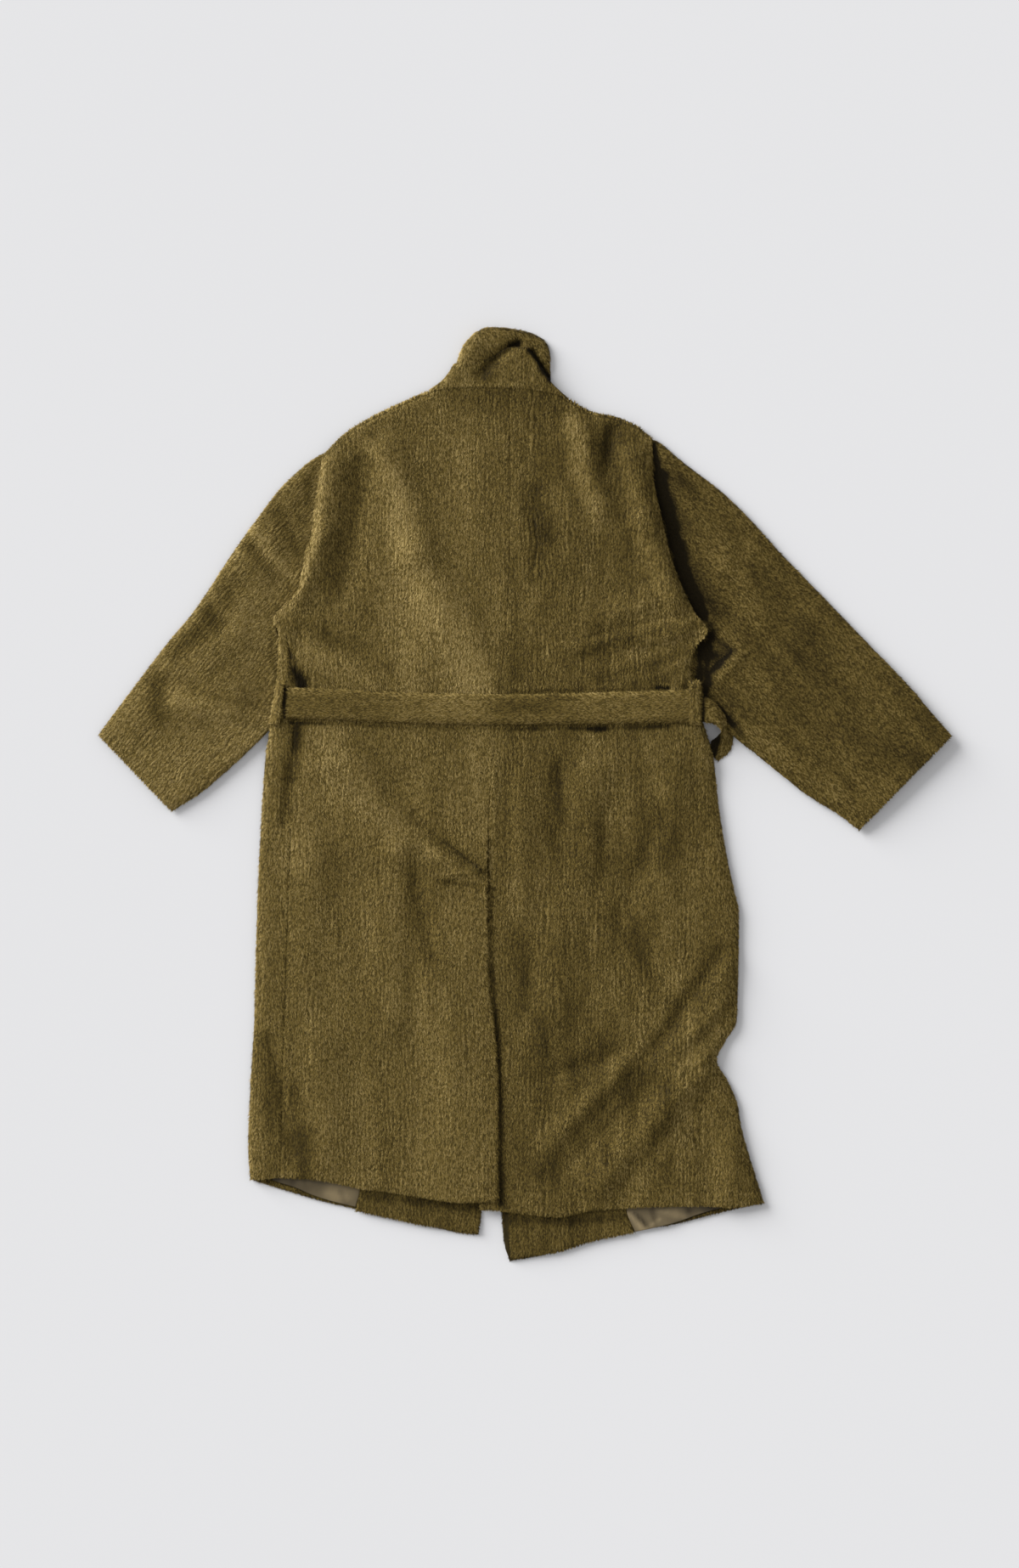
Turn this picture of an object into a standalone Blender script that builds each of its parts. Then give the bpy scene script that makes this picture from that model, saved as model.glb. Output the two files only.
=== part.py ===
"""Double-breasted overcoat laid flat with its back up, as the cut pieces lie on each other.

Metres, +Z up, +Y towards the collar, the floor at z = 0. Every table is in millimetres.
Each piece is a flat sheet between four cut edges, thickened, then lifted onto what lies under it.
"""
import bmesh
import bpy
import numpy as np

MM = 0.001

# Thickness of each material, and the space left between pieces.
PILE_CLOTH = 4.0
FACING_CLOTH = 3.0
LINING_CLOTH = 1.0
BELT_CLOTH = 5.0
FRONT_BELT_CLOTH = 4.0
LOOP_CLOTH = 2.0
GAP = 0.4
SEAM = 0.2

# Height at which each layer lies, measured to its underside.
ON_FRONT = PILE_CLOTH + GAP
BACK_REST = 10.5
SLEEVE_REST = 9.0
SLEEVE_TUCK = 2 * PILE_CLOTH + 2 * GAP + SEAM
EDGE_ROUND = 22.0
BELT_ROUND = 12.0
BELT_LEFT_END = -379.0
BELT_TURN = (2.0, 4.0, 7.0, 12.0, 18.0, 24.0)

# The hidden belt and buttons lift the fronts, and so the back, by their own thickness.
UNDER_LIFT = FRONT_BELT_CLOTH + GAP + SEAM
LIFT_ROWS = (10.0, 64.0, 186.0, 222.0)
STAND_ROWS = (-90.0, -20.0, 400.0, 470.0)
STAND_COLUMNS = (-190.0, -132.0, 60.0, 125.0)
FRONT_LAP = PILE_CLOTH + 2 * GAP
FRONT_LAP_START = (-480.0, -400.0)
FRONT_LAP_RUN = (45.0, 100.0)
FRONT_CORNER = (0.012, 0.056)

# Where the back turns down at armholes and shoulders, and where the sleeves rise from under it.
ARMHOLE_LEFT_ROWS = (236.0, 256.0)
ARMHOLE_RIGHT_ROWS = (196.0, 216.0)
SHOULDER_LEFT_COLUMNS = (-165.0, -120.0)
SHOULDER_RIGHT_COLUMNS = (70.0, 105.0)
TUCK_LEFT_COLUMNS = (-284.0, -255.0)
TUCK_RIGHT_COLUMNS = (140.0, 170.0)
TUCK_RUN = (50.0, 108.0)
RIGHT_SIDE_COLUMN = 260.0

# The far layer of the collar rolls up behind its edge, the near fold rises to a peak.
COLLAR_ROLL = 7.0
COLLAR_RISE = (0.0, 16.0)
COLLAR_FALL = (20.0, 44.0)
COLLAR_MIDDLE = -20.0
COLLAR_LEFT_ROWS = (640.0, 668.0)
COLLAR_RIGHT_ROWS = (600.0, 640.0)
COLLAR_PEAK = 5.0
COLLAR_PEAK_COLUMNS = (-110.0, -20.0)
COLLAR_SLIT = 1.5
COLLAR_SLIT_SHARE = (0.4, 0.8)

# The bow of the belt leans outwards: heights of its two edges and where they fall.
BOW_OUTER = 17.0
BOW_OUTER_FALL = (0.0, 0.5)
BOW_INNER = 18.5
BOW_INNER_DROP = 10.0
BOW_INNER_FALL = (0.2, 1.0)

# The left back laps over the right one below the top of the vent.
VENT_LAP = PILE_CLOTH + 1.6
VENT_ROWS = (-95.0, -40.0)
VENT_RUN = (-115.0, -72.0)
VENT_CALM = 0.75
VENT_CALM_RUN = (40.0, 90.0)
VENT_CALM_ROWS = (-60.0, -110.0)
FOLD_LIMITS = (-1.5, 14.0)

# The belt lies across the back and presses its folds flat.
BELT_FLAT = (28.0, 66.0, 196.0, 240.0)
LOOP_ROWS = (96.0, 101.0, 162.0, 167.0)
LOOP_CLEAR = 0.9
LOOP_STATIONS = (0.0, 5.0, 35.0, 66.0, 71.0)
LOOP_COLUMNS = (0.0, 5.0, 11.0, 17.0)
BUTTON_RADIUS = 14.0
BUTTON_HEIGHT = 3.8
BUTTON_SIDES = 20
BUTTON_COLUMNS = (-95.0, -5.0)
BUTTON_ROWS = (355.0, 205.0, 35.0)

# Largest spacing of mesh lines along and across each kind of piece, and how far the under sleeve
# stays inside the upper one.
FRONT_SPACING = 36.0
STRIP_SPACING = 40.0
BACK_ROW_SPACING = 32.0
BACK_COLUMN_SPACING = 30.0
HEAD_SPACING = 48.0
UNDER_HEAD_SPACING = 70.0
BELT_SPACING = 24.0
SHOULDER_ROWS = (0.965, 0.985)
SIDE_COLUMNS = (0.95, 0.98)
SLEEVE_LEFT_COLUMNS = (0.03, 0.96)
SLEEVE_RIGHT_COLUMNS = (0.04, 0.97)
COLLAR_COLUMNS = (0.04,)
STRIP_SHARES = (0.0, 0.1, 0.3, 0.6, 1.0)
COLLAR_SHARES = (0.0, 0.2, 0.4, 0.55, 0.68, 0.8, 0.9, 1.0)
UNDER_OUTER_INSET = 2.2
UNDER_INNER_INSET = (1.8, 2.4)

# Cut edges as x, y. Side, seam and front edges run from the hem up.
SIDE_LEFT = [(-405, -569), (-408, -520), (-405, -431), (-399, -331), (-396, -206), (-391, -81),
             (-383, 46), (-377, 89), (-372, 118), (-368, 141), (-364, 176), (-362, 207), (-361, 232)]
ARMHOLE_LEFT = [(-373, 255), (-349, 283), (-335, 301), (-324, 357), (-315, 383), (-311, 418),
                (-303, 469), (-300, 503)]
SEAM_LEFT = [(-361, -565), (-357, -400), (-350, -200), (-345, -50), (-342, 60), (-340, 130),
             (-344, 190), (-352, 234)]
CENTRE_HEM = [(-40, -599), (-40, -431), (-48, -326), (-55, -281), (-56, -116)]
CENTRE_SEAM = [(-56, -104), (-53, -30), (-47, 60), (-39, 140), (-31, 210), (-26, 280), (-23, 360),
               (-22, 440), (-23, 600)]
UNDERLAP = [(-66, -613), (-76, -431), (-86, -326), (-92, -200), (-86, -140)]
SIDE_RIGHT = [(354, -603), (337, -549), (319, -487), (314, -456), (301, -424), (283, -390),
              (296, -362), (313, -331), (316, -174), (309, -143), (296, -81), (286, -18),
              (278, 52), (263, 105), (253, 140), (244, 188), (251, 215)]
ARMHOLE_RIGHT = [(270, 241), (252, 265), (234, 298), (214, 352), (199, 416), (189, 467), (190, 530)]
FRONT_EDGE_LEFT = [(-68, -650), (-63, -613), (-58, -400), (-20, -100), (15, 150), (12, 330),
                   (0, 480), (-5, 589)]
FRONT_EDGE_RIGHT = [(-22, -689), (-31, -674), (-36, -617), (-45, -400), (-85, -100), (-115, 150),
                    (-100, 330), (-70, 480), (-50, 588)]
SLEEVE_LEFT_OUTER = [(-629, 86), (-609, 114), (-584, 147), (-524, 226), (-488, 269), (-423, 367),
                     (-380, 426), (-362, 449), (-306, 499), (-291, 506)]
SLEEVE_LEFT_INNER = [(-520, -25), (-476, 3), (-453, 22), (-410, 61), (-379.5, 91)]
SLEEVE_RIGHT_OUTER = [(629, 85), (598, 120), (566, 158), (506, 221), (460, 269), (375, 357),
                      (329, 408), (286, 449), (227, 497), (194, 526), (179, 528)]
SLEEVE_RIGHT_INNER = [(491, -53), (463, -31), (417, -2), (379, 28), (343, 58), (308, 88),
                      (287, 121), (267, 141)]
COLLAR_FRONT_LEFT = [(-120, 594), (-108, 618), (-101, 638), (-92, 660), (-72, 681)]
COLLAR_FRONT_RIGHT = [(58, 585), (46, 595), (39, 607), (38, 621), (38, 642), (35, 658), (25, 671)]
COLLAR_BACK_LEFT = [(-146, 595.6), (-118, 612), (-104, 633)]
COLLAR_BACK_RIGHT = [(60, 585), (38, 606), (20, 632), (4, 657)]
BELT_LEFT = [(BELT_LEFT_END, 111), (BELT_LEFT_END, 158)]
BELT_RIGHT = [(257, 105), (257, 156)]
BELT_FRONT_LEFT = [(-376, 107), (-376, 153)]
BELT_FRONT_RIGHT = [(246, 107), (246, 153)]
LOOP_LEFT_EDGES = ([(-372, 96), (-372, 167)], [(-355, 96), (-355, 167)])
LOOP_RIGHT_EDGES = ([(228, 96), (228, 167)], [(244, 96), (244, 167)])
FACING_LEFT_EDGES = ([(-245, -609), (-241, -480)], [(-70, -642), (-64, -480)])
LINING_LEFT_EDGES = ([(-372, -567), (-372, -480)], [(-246, -601), (-242, -480)])
FACING_RIGHT_EDGES = ([(-20, -680), (-32, -490)], [(159, -641), (145, -490)])
LINING_RIGHT_EDGES = ([(160.5, -634), (146.5, -490)], [(338, -597), (306, -490)])
BELT_SIDE_OUTER = [(257.8, 134), (272, 129), (285, 116), (297, 98), (304, 81), (302, 66), (285, 50)]
BELT_SIDE_INNER = [(258.6, 112), (274, 104), (282, 95), (286, 80), (284, 69), (281, 57)]

# Points between the corners on hems, shoulders and sleeve heads, from left to right.
BACK_HEM_LEFT = [(-311, -568), (-280, -573), (-245, -581), (-201, -586), (-145, -595), (-94, -601)]
BACK_HEM_RIGHT = [(-36, -614), (13, -620), (47, -623), (99, -613), (148, -610), (194, -608),
                  (257, -607), (300, -609)]
SHOULDER_LEFT = [(-265, 533), (-228, 556), (-185, 577), (-142, 594), (-92, 600)]
SHOULDER_RIGHT = [(39, 592), (62, 583), (101, 564), (127, 559), (160, 546)]
FRONT_HEM_LEFT = [(-334, -590), (-296, -601), (-239, -614), (-181, -629), (-142, -637), (-85, -649)]
FRONT_HEM_RIGHT = [(42, -677), (99, -660), (159, -646), (214, -636), (265, -623), (314, -611)]
FRONT_SHOULDER_LEFT = [(-262, 529), (-228, 551), (-185, 572), (-142, 588), (-70, 592)]
FRONT_SHOULDER_RIGHT = [(39, 586), (62, 577), (101, 558), (127, 553), (160, 540)]
SLEEVE_HEAD_LEFT = [(-291, 468), (-299, 418), (-303, 386), (-312, 357), (-324, 308), (-340, 286),
                    (-362, 261), (-377, 243), (-367, 220), (-367, 190), (-371, 165), (-381, 160), (-381, 108)]
SLEEVE_HEAD_RIGHT = [(257, 152), (249, 188), (256, 213), (258, 240), (241, 262), (222, 296),
                     (202, 350), (187, 415), (177, 467)]
FACING_LEFT_HEM = [(-181, -626), (-142, -634)]
LINING_LEFT_HEM = [(-334, -579), (-296, -590)]
FACING_RIGHT_HEM = [(42, -673), (99, -656)]
LINING_RIGHT_HEM = [(214, -624), (265, -611), (314, -600)]
UNDER_LEFT_TIP = (-296.6, 502)
UNDER_LEFT_PIT = (-378, 93)
UNDER_RIGHT_TIP = (186.6, 526)
UNDER_RIGHT_PIT = (250, 143)
UNDER_HEAD_LEFT = [(-357.6, 232), (-358.6, 207), (-361, 182), (-378, 160), (-378.5, 101)]
COLLAR_FRONT_TOP = [(-53, 689), (-36, 689), (-15, 686), (6, 681)]
COLLAR_FRONT_NECK = [(-70, 592.4), (-5, 589.5), (39, 589)]
COLLAR_BACK_TOP = [(-80, 634), (-50, 643), (-22, 657)]
COLLAR_BACK_NECK = [(-92, 601), (-23, 601), (39, 593)]
BELT_TOP = [(-353, 158), (-200, 152), (-23, 148), (120, 151)]
BELT_BOTTOM = [(-353, 111), (-200, 105), (-23, 102), (120, 103)]

# Largest folds of the back as a line from x, y to x, y, with half width and height.
BACK_FOLDS = [
    (-204, 494, -161, 357, 48, 7.0),
    (-161, 357, -70, 215, 46, 6.0),
    (-236, 482, -261, 307, 42, -1.5),
    (-281, 480, -296, 380, 28, 6.0),
    (-296, 380, -330, 292, 28, 6.0),
    (-335, 268, -225, 200, 30, 4.0),
    (77, 532, 114, 419, 32, 6.0),
    (127, 532, 116, 469, 22, -1.5),
    (160, 495, 178, 400, 30, 9.0),
    (178, 400, 225, 285, 32, 11.0),
    (235, 246, 60, 205, 24, 6.0),
    (205, 300, 90, 255, 24, 3.0),
    (-311, 45, -186, -81, 44, 8.0),
    (-186, -81, -118, -125, 38, 6.0),
    (-200, -150, -196, -330, 46, 5.0),
    (-90, -190, -96, -420, 34, 3.0),
    (-310, -80, -330, -300, 40, 3.0),
    (-300, -360, -296, -540, 44, 4.0),
    (104, 40, 89, -100, 38, 6.0),
    (0, 20, -8, -160, 34, 4.0),
    (220, 20, 200, -150, 40, 3.0),
    (60, -180, 30, -360, 46, 3.0),
    (300, -250, 214, -395, 34, 5.0),
    (270, -390, 196, -470, 34, 10.0),
    (196, -470, 110, -570, 34, 8.0),
    (150, -400, 40, -510, 30, 6.0),
    (310, -500, 300, -590, 30, 4.0),
]

# Largest folds of the sleeves, in the same columns.
SLEEVE_FOLDS = [
    (-420, 340, -350, 320, 30, 4.0),
    (-545, 120, -430, 140, 40, 4.0),
    (-470, 200, -400, 250, 34, 3.0),
    (300, 330, 350, 250, 40, 4.0),
    (390, 210, 500, 60, 50, 4.0),
    (420, 260, 540, 120, 40, 3.0),
]

# Principled settings of each material: base colour, roughness.
MATERIALS = {
    "pile_cloth": ((0.125, 0.092, 0.032, 1.0), 0.92),
    "satin_lining": ((0.165, 0.122, 0.066, 1.0), 0.38),
    "horn": ((0.030, 0.022, 0.014, 1.0), 0.30),
}


def smooth(low, high, value):
    """Rise softly from 0 at low to 1 at high."""
    share = np.clip((value - low) / (high - low), 0.0, 1.0)
    return share * share * (3.0 - 2.0 * share)


def plateau(limits, value):
    """Rise from 0 to 1 over the first two limits and fall back over the last two."""
    return smooth(limits[0], limits[1], value) * (1.0 - smooth(limits[2], limits[3], value))


def shift(edge, dx, dy=0.0):
    """Move a cut edge sideways and along."""
    return [(x + dx, y + dy) for x, y in edge]


def edge_x(edge, y):
    """Give x on an upright edge at height y on the plan."""
    return np.interp(y, [point[1] for point in edge], [point[0] for point in edge])


def edge_shares(edge):
    """Give each point's share of the way along its edge, on the edge's longer axis."""
    points = np.array(edge, dtype=float)
    axis = int(np.argmax(np.abs(points[-1] - points[0])))
    return (points[:, axis] - points[0, axis]) / (points[-1, axis] - points[0, axis])


def edge_at(edge, shares):
    """Give plan points at these shares of an edge."""
    points = np.array(edge, dtype=float)
    own = edge_shares(edge)
    return np.stack([np.interp(shares, own, points[:, 0]), np.interp(shares, own, points[:, 1])], axis=-1)


def stations(edge, spacing, extra=()):
    """Give the shares of an edge's own points, with more between them where they lie far apart."""
    points = np.array(edge, dtype=float)
    length = np.abs(points[-1] - points[0]).max()
    own = sorted(set(edge_shares(edge)) | set(extra))
    shares = [own[0]]
    for low, high in zip(own[:-1], own[1:]):
        steps = max(1, int(np.ceil((high - low) * length / spacing)))
        shares += [low + (high - low) * step / steps for step in range(1, steps + 1)]
    return np.array(shares)


def joined(left, right, inner, end):
    """Give the edge between the corners of two long edges, through its inner points."""
    return [left[end]] + list(inner) + [right[end]]


class Plan:
    """Plan points of a sheet between four cut edges, with their distances from the edges."""

    def __init__(self, left, right, bottom, top, across, along):
        bottom = joined(left, right, bottom, 0)
        top = joined(left, right, top, -1)
        u = across[None, :, None]
        v = along[:, None, None]
        left_side = edge_at(left, along)[:, None, :]
        right_side = edge_at(right, along)[:, None, :]
        low = edge_at(bottom, across)[None, :, :]
        high = edge_at(top, across)[None, :, :]
        corners = ((1 - u) * (1 - v) * low[:, :1] + u * (1 - v) * low[:, -1:]
                   + (1 - u) * v * high[:, :1] + u * v * high[:, -1:])
        spot = (1 - v) * low + v * high + (1 - u) * left_side + u * right_side - corners
        self.x = spot[..., 0]
        self.y = spot[..., 1]
        width = np.linalg.norm(spot[:, -1] - spot[:, 0], axis=-1)[:, None]
        length = np.linalg.norm(spot[-1] - spot[0], axis=-1)[None, :]
        self.from_left = across[None, :] * width
        self.from_right = (1 - across)[None, :] * width
        self.from_top = (1 - along)[:, None] * length
        self.along = along[:, None] + 0 * self.x
        self.across = across[None, :] + 0 * self.x


def rounded(distance, width):
    """Give the quarter-round share of a sheet's height at a distance from its edge."""
    share = np.clip(1.0 - distance / width, 0.0, 1.0)
    return np.sqrt(1.0 - share * share)


def folds(x, y, table):
    """Add up the ridges and troughs of a fold table."""
    total = np.zeros_like(x)
    for x0, y0, x1, y1, half_width, height in table:
        run = np.hypot(x1 - x0, y1 - y0) ** 2
        share = np.clip(((x - x0) * (x1 - x0) + (y - y0) * (y1 - y0)) / run, 0.0, 1.0)
        away = np.hypot(x - x0 - share * (x1 - x0), y - y0 - share * (y1 - y0))
        total += height * (1.0 - smooth(0.0, half_width, away))
    return np.clip(total, *FOLD_LIMITS)


def under_lift(x, y):
    """Give how far the hidden belt and buttons lift what lies on them."""
    stand = plateau(STAND_ROWS, y) * plateau(STAND_COLUMNS, x)
    return UNDER_LIFT * np.maximum(plateau(LIFT_ROWS, y), stand)


def front_left_rest(plan):
    """Lay the left front on the floor, the hidden belt and the buttons."""
    return under_lift(plan.x, plan.y)


def front_right_rest(plan):
    """Lay the right front on the floor, and on the left front where they lap."""
    from_edge = plan.x - edge_x(FRONT_EDGE_LEFT, plan.y)
    lap = smooth(*FRONT_LAP_START, plan.y) * (1.0 - smooth(*FRONT_LAP_RUN, from_edge))
    return under_lift(plan.x, plan.y) + FRONT_LAP * lap


def back_level(x, y):
    """Give the height of the back's underside, folds included, before its edges turn down."""
    calm = 1.0 - plateau(BELT_FLAT, y)
    from_vent = np.abs(x - edge_x(CENTRE_HEM + CENTRE_SEAM, y))
    by_vent = (1.0 - smooth(*VENT_CALM_RUN, from_vent)) * smooth(*VENT_CALM_ROWS, y)
    calm = calm * (1.0 - VENT_CALM * by_vent)
    return BACK_REST + under_lift(x, y) + calm * folds(x, y, BACK_FOLDS)


def turned_down(level, low, distance, weight=1.0, width=EDGE_ROUND):
    """Turn a sheet down to a low level at its edge."""
    share = 1.0 - weight * (1.0 - rounded(distance, width))
    return low + (level - low) * share


def side_left_level(x, y):
    """Give the height of the turned strip, brought down to the fold at the side."""
    away = np.maximum(x - edge_x(SIDE_LEFT, y), 0.0)
    return turned_down(back_level(x, y), ON_FRONT + under_lift(x, y), away)


def side_left_rest(plan):
    """Lay the turned strip of the left front."""
    return side_left_level(plan.x, plan.y)


def back_left_rest(plan):
    """Lay the left back, turned down at the armhole and shoulder, lapped over at the vent."""
    level = back_level(plan.x, plan.y)
    from_centre = plan.x - edge_x(CENTRE_HEM + CENTRE_SEAM, plan.y)
    level = level + VENT_LAP * smooth(*VENT_RUN, from_centre) * (1.0 - smooth(*VENT_ROWS, plan.y))
    level = turned_down(level, SLEEVE_TUCK, plan.from_left, smooth(*ARMHOLE_LEFT_ROWS, plan.y))
    low = ON_FRONT + (SLEEVE_TUCK - ON_FRONT) * (1.0 - smooth(*TUCK_LEFT_COLUMNS, plan.x))
    return turned_down(level, low, plan.from_top, 1.0 - smooth(*SHOULDER_LEFT_COLUMNS, plan.x))


def right_edge_low(y):
    """Give the level that the right back's edge comes down to, on the front or on the sleeve."""
    on_sleeve = (SLEEVE_TUCK - ON_FRONT) * smooth(*ARMHOLE_RIGHT_ROWS, y)
    return ON_FRONT + under_lift(RIGHT_SIDE_COLUMN, y) + on_sleeve


def back_right_side(x, y):
    """Give the right back's height with its right edge turned down."""
    away = edge_x(SIDE_RIGHT + ARMHOLE_RIGHT, y) - x
    return turned_down(back_level(x, y), right_edge_low(y), np.maximum(away, 0.0))


def back_right_rest(plan):
    """Lay the right back, turned down at its side, armhole and shoulder."""
    level = back_right_side(plan.x, plan.y)
    low = ON_FRONT + (SLEEVE_TUCK - ON_FRONT) * smooth(*TUCK_RIGHT_COLUMNS, plan.x)
    return turned_down(level, low, plan.from_top, smooth(*SHOULDER_RIGHT_COLUMNS, plan.x))


def sleeve_rest(plan):
    """Lay a sleeve's upper half on its under half, tucked under the back at the armhole."""
    level = SLEEVE_REST + folds(plan.x, plan.y, SLEEVE_FOLDS)
    level = turned_down(level, ON_FRONT, plan.from_left)
    level = turned_down(level, ON_FRONT, plan.from_right)
    return ON_FRONT + (level - ON_FRONT) * smooth(*TUCK_RUN, plan.from_top)


def flat_rest(plan):
    """Lay a piece on the floor."""
    return np.zeros_like(plan.x)


def on_front_rest(plan):
    """Lay a facing or lining on the inside of a front."""
    return np.full_like(plan.x, ON_FRONT)


def collar_front_rest(plan):
    """Roll the far layer of the collar up behind its edge."""
    rim = np.minimum(np.minimum(plan.from_left, plan.from_right), plan.from_top)
    shown = np.where(plan.x < COLLAR_MIDDLE, smooth(*COLLAR_LEFT_ROWS, plan.y),
                     smooth(*COLLAR_RIGHT_ROWS, plan.y))
    return COLLAR_ROLL * shown * smooth(*COLLAR_RISE, rim) * (1.0 - smooth(*COLLAR_FALL, rim))


def collar_back_rest(plan):
    """Raise the near fold of the collar from the neck to its peak."""
    level = BACK_REST + COLLAR_PEAK * plan.along * smooth(*COLLAR_PEAK_COLUMNS, plan.x)
    level = level + COLLAR_SLIT * smooth(*COLLAR_SLIT_SHARE, plan.across)
    return turned_down(level, ON_FRONT, plan.from_left)


def belt_level(x, y):
    """Give the level of the belt over the back, and round the fold at the left side."""
    level = BACK_REST + UNDER_LIFT + PILE_CLOTH + GAP + 0 * y
    return turned_down(level, ON_FRONT, np.maximum(x - BELT_LEFT_END, 0.0), width=BELT_ROUND)


def belt_back_rest(plan):
    """Lay the belt on the back."""
    return belt_level(plan.x, plan.y)


def belt_side_rest(plan):
    """Lean the bow of the belt outwards beside the coat."""
    outer = BOW_OUTER * (1.0 - smooth(*BOW_OUTER_FALL, plan.along))
    inner = BOW_INNER - BOW_INNER_DROP * smooth(*BOW_INNER_FALL, plan.along)
    return outer + (inner - outer) * plan.across


def loop_rest(plan):
    """Carry a loop over the belt and down to the back at both ends."""
    over_belt = belt_level(plan.x, plan.y) + BELT_CLOTH + GAP
    sides = np.where(plan.x < 0.0, side_left_level(plan.x, plan.y), back_right_side(plan.x, plan.y))
    on_coat = sides + PILE_CLOTH + LOOP_CLEAR
    return on_coat + (over_belt - on_coat) * plateau(LOOP_ROWS, plan.y)


def make_material(name):
    """Make one Principled material."""
    colour, roughness = MATERIALS[name]
    material = bpy.data.materials.new(name)
    material.use_nodes = True
    shader = material.node_tree.nodes["Principled BSDF"]
    shader.inputs["Base Color"].default_value = colour
    shader.inputs["Roughness"].default_value = roughness
    shader.inputs["Metallic"].default_value = 0.0
    material.diffuse_color = colour
    return material


def add_object(name, mesh, material):
    """Put a mesh into the coat's collection."""
    piece = bpy.data.objects.new(name, mesh)
    coat.objects.link(piece)
    mesh.materials.append(materials[material])
    return piece


def make_sheet(name, plan, thickness, rest, material):
    """Make one cut piece: a flat grid on its plan, thickened, then lifted to its rest."""
    rows, columns = plan.x.shape
    grid = bmesh.new()
    bmesh.ops.create_grid(grid, x_segments=columns - 1, y_segments=rows - 1, size=1.0)
    rests = rest(plan)
    heights = []
    for vertex in grid.verts:
        column = round((vertex.co.x + 1.0) / 2.0 * (columns - 1))
        row = round((vertex.co.y + 1.0) / 2.0 * (rows - 1))
        vertex.co = (plan.x[row, column] * MM, plan.y[row, column] * MM, 0.0)
        heights.append(float(rests[row, column]) * MM)
    flat = bpy.data.meshes.new(name)
    grid.to_mesh(flat)
    grid.free()
    piece = add_object(name, flat, material)
    shell = piece.modifiers.new("Shell", "SOLIDIFY")
    shell.thickness = thickness * MM
    shell.offset = 1.0
    depsgraph = bpy.context.evaluated_depsgraph_get()
    solid = bpy.data.meshes.new_from_object(piece.evaluated_get(depsgraph))
    piece.modifiers.remove(shell)
    for vertex in solid.vertices:
        vertex.co.z += heights[vertex.index % len(heights)]
    piece.data = solid
    solid.name = name
    return piece


def make_button(name, x, y):
    """Make one button, flat on the floor under the left front."""
    disc = bmesh.new()
    bmesh.ops.create_cone(disc, cap_ends=True, segments=BUTTON_SIDES, radius1=BUTTON_RADIUS * MM,
                          radius2=BUTTON_RADIUS * MM, depth=BUTTON_HEIGHT * MM)
    bmesh.ops.translate(disc, verts=disc.verts, vec=(x * MM, y * MM, BUTTON_HEIGHT / 2.0 * MM))
    mesh = bpy.data.meshes.new(name)
    disc.to_mesh(mesh)
    disc.free()
    return add_object(name, mesh, "horn")


for old in list(bpy.data.objects):
    bpy.data.objects.remove(old, do_unlink=True)
coat = bpy.data.collections.new("double_breasted_overcoat")
bpy.context.scene.collection.children.link(coat)
materials = {name: make_material(name) for name in MATERIALS}

body_left = SIDE_LEFT + ARMHOLE_LEFT
body_right = SIDE_RIGHT + ARMHOLE_RIGHT
even = np.linspace(0.0, 1.0, 9)

# Fronts, flat under the back.
inset_left = shift(body_left, PILE_CLOTH)
front_left = Plan(inset_left, FRONT_EDGE_LEFT, FRONT_HEM_LEFT, FRONT_SHOULDER_LEFT,
                  even, stations(inset_left, FRONT_SPACING))
make_sheet("front_left", front_left, PILE_CLOTH, front_left_rest, "pile_cloth")
inset_right = shift(body_right, -PILE_CLOTH)
front_right = Plan(FRONT_EDGE_RIGHT, inset_right, FRONT_HEM_RIGHT, FRONT_SHOULDER_RIGHT,
                   np.linspace(0.0, 1.0, 11), stations(inset_right, FRONT_SPACING, FRONT_CORNER))
make_sheet("front_right", front_right, PILE_CLOTH, front_right_rest, "pile_cloth")

# Facings and linings, as far as they show at the hem.
coarse = even[::2]
facing_left = Plan(*FACING_LEFT_EDGES, FACING_LEFT_HEM, [], coarse, coarse)
make_sheet("facing_left", facing_left, FACING_CLOTH, on_front_rest, "pile_cloth")
lining_left = Plan(*LINING_LEFT_EDGES, LINING_LEFT_HEM, [], coarse, coarse)
make_sheet("lining_left", lining_left, LINING_CLOTH, on_front_rest, "satin_lining")
facing_right = Plan(*FACING_RIGHT_EDGES, FACING_RIGHT_HEM, [], coarse, coarse)
make_sheet("facing_right", facing_right, FACING_CLOTH, on_front_rest, "pile_cloth")
lining_right = Plan(*LINING_RIGHT_EDGES, LINING_RIGHT_HEM, [], coarse, coarse)
make_sheet("lining_right", lining_right, LINING_CLOTH, on_front_rest, "satin_lining")

# The turned strip, and the two halves of the back.
side_left = Plan(SIDE_LEFT, shift(SEAM_LEFT, -SEAM), [], [],
                 np.array(STRIP_SHARES), stations(SIDE_LEFT, STRIP_SPACING))
make_sheet("side_left", side_left, PILE_CLOTH, side_left_rest, "pile_cloth")
back_left_edge = shift(SEAM_LEFT, SEAM) + ARMHOLE_LEFT
centre = CENTRE_HEM + CENTRE_SEAM
back_left = Plan(back_left_edge, shift(centre, -SEAM), BACK_HEM_LEFT, SHOULDER_LEFT,
                 stations(joined(back_left_edge, shift(centre, -SEAM), SHOULDER_LEFT, -1),
                          BACK_COLUMN_SPACING),
                 stations(back_left_edge, BACK_ROW_SPACING, SHOULDER_ROWS))
make_sheet("back_left", back_left, PILE_CLOTH, back_left_rest, "pile_cloth")
right_inner = UNDERLAP + shift(CENTRE_SEAM, SEAM)
back_right = Plan(right_inner, body_right, BACK_HEM_RIGHT, SHOULDER_RIGHT,
                  stations(joined(right_inner, body_right, SHOULDER_RIGHT, -1),
                           BACK_COLUMN_SPACING, SIDE_COLUMNS),
                  stations(body_right, BACK_ROW_SPACING))
make_sheet("back_right", back_right, PILE_CLOTH, back_right_rest, "pile_cloth")

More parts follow.
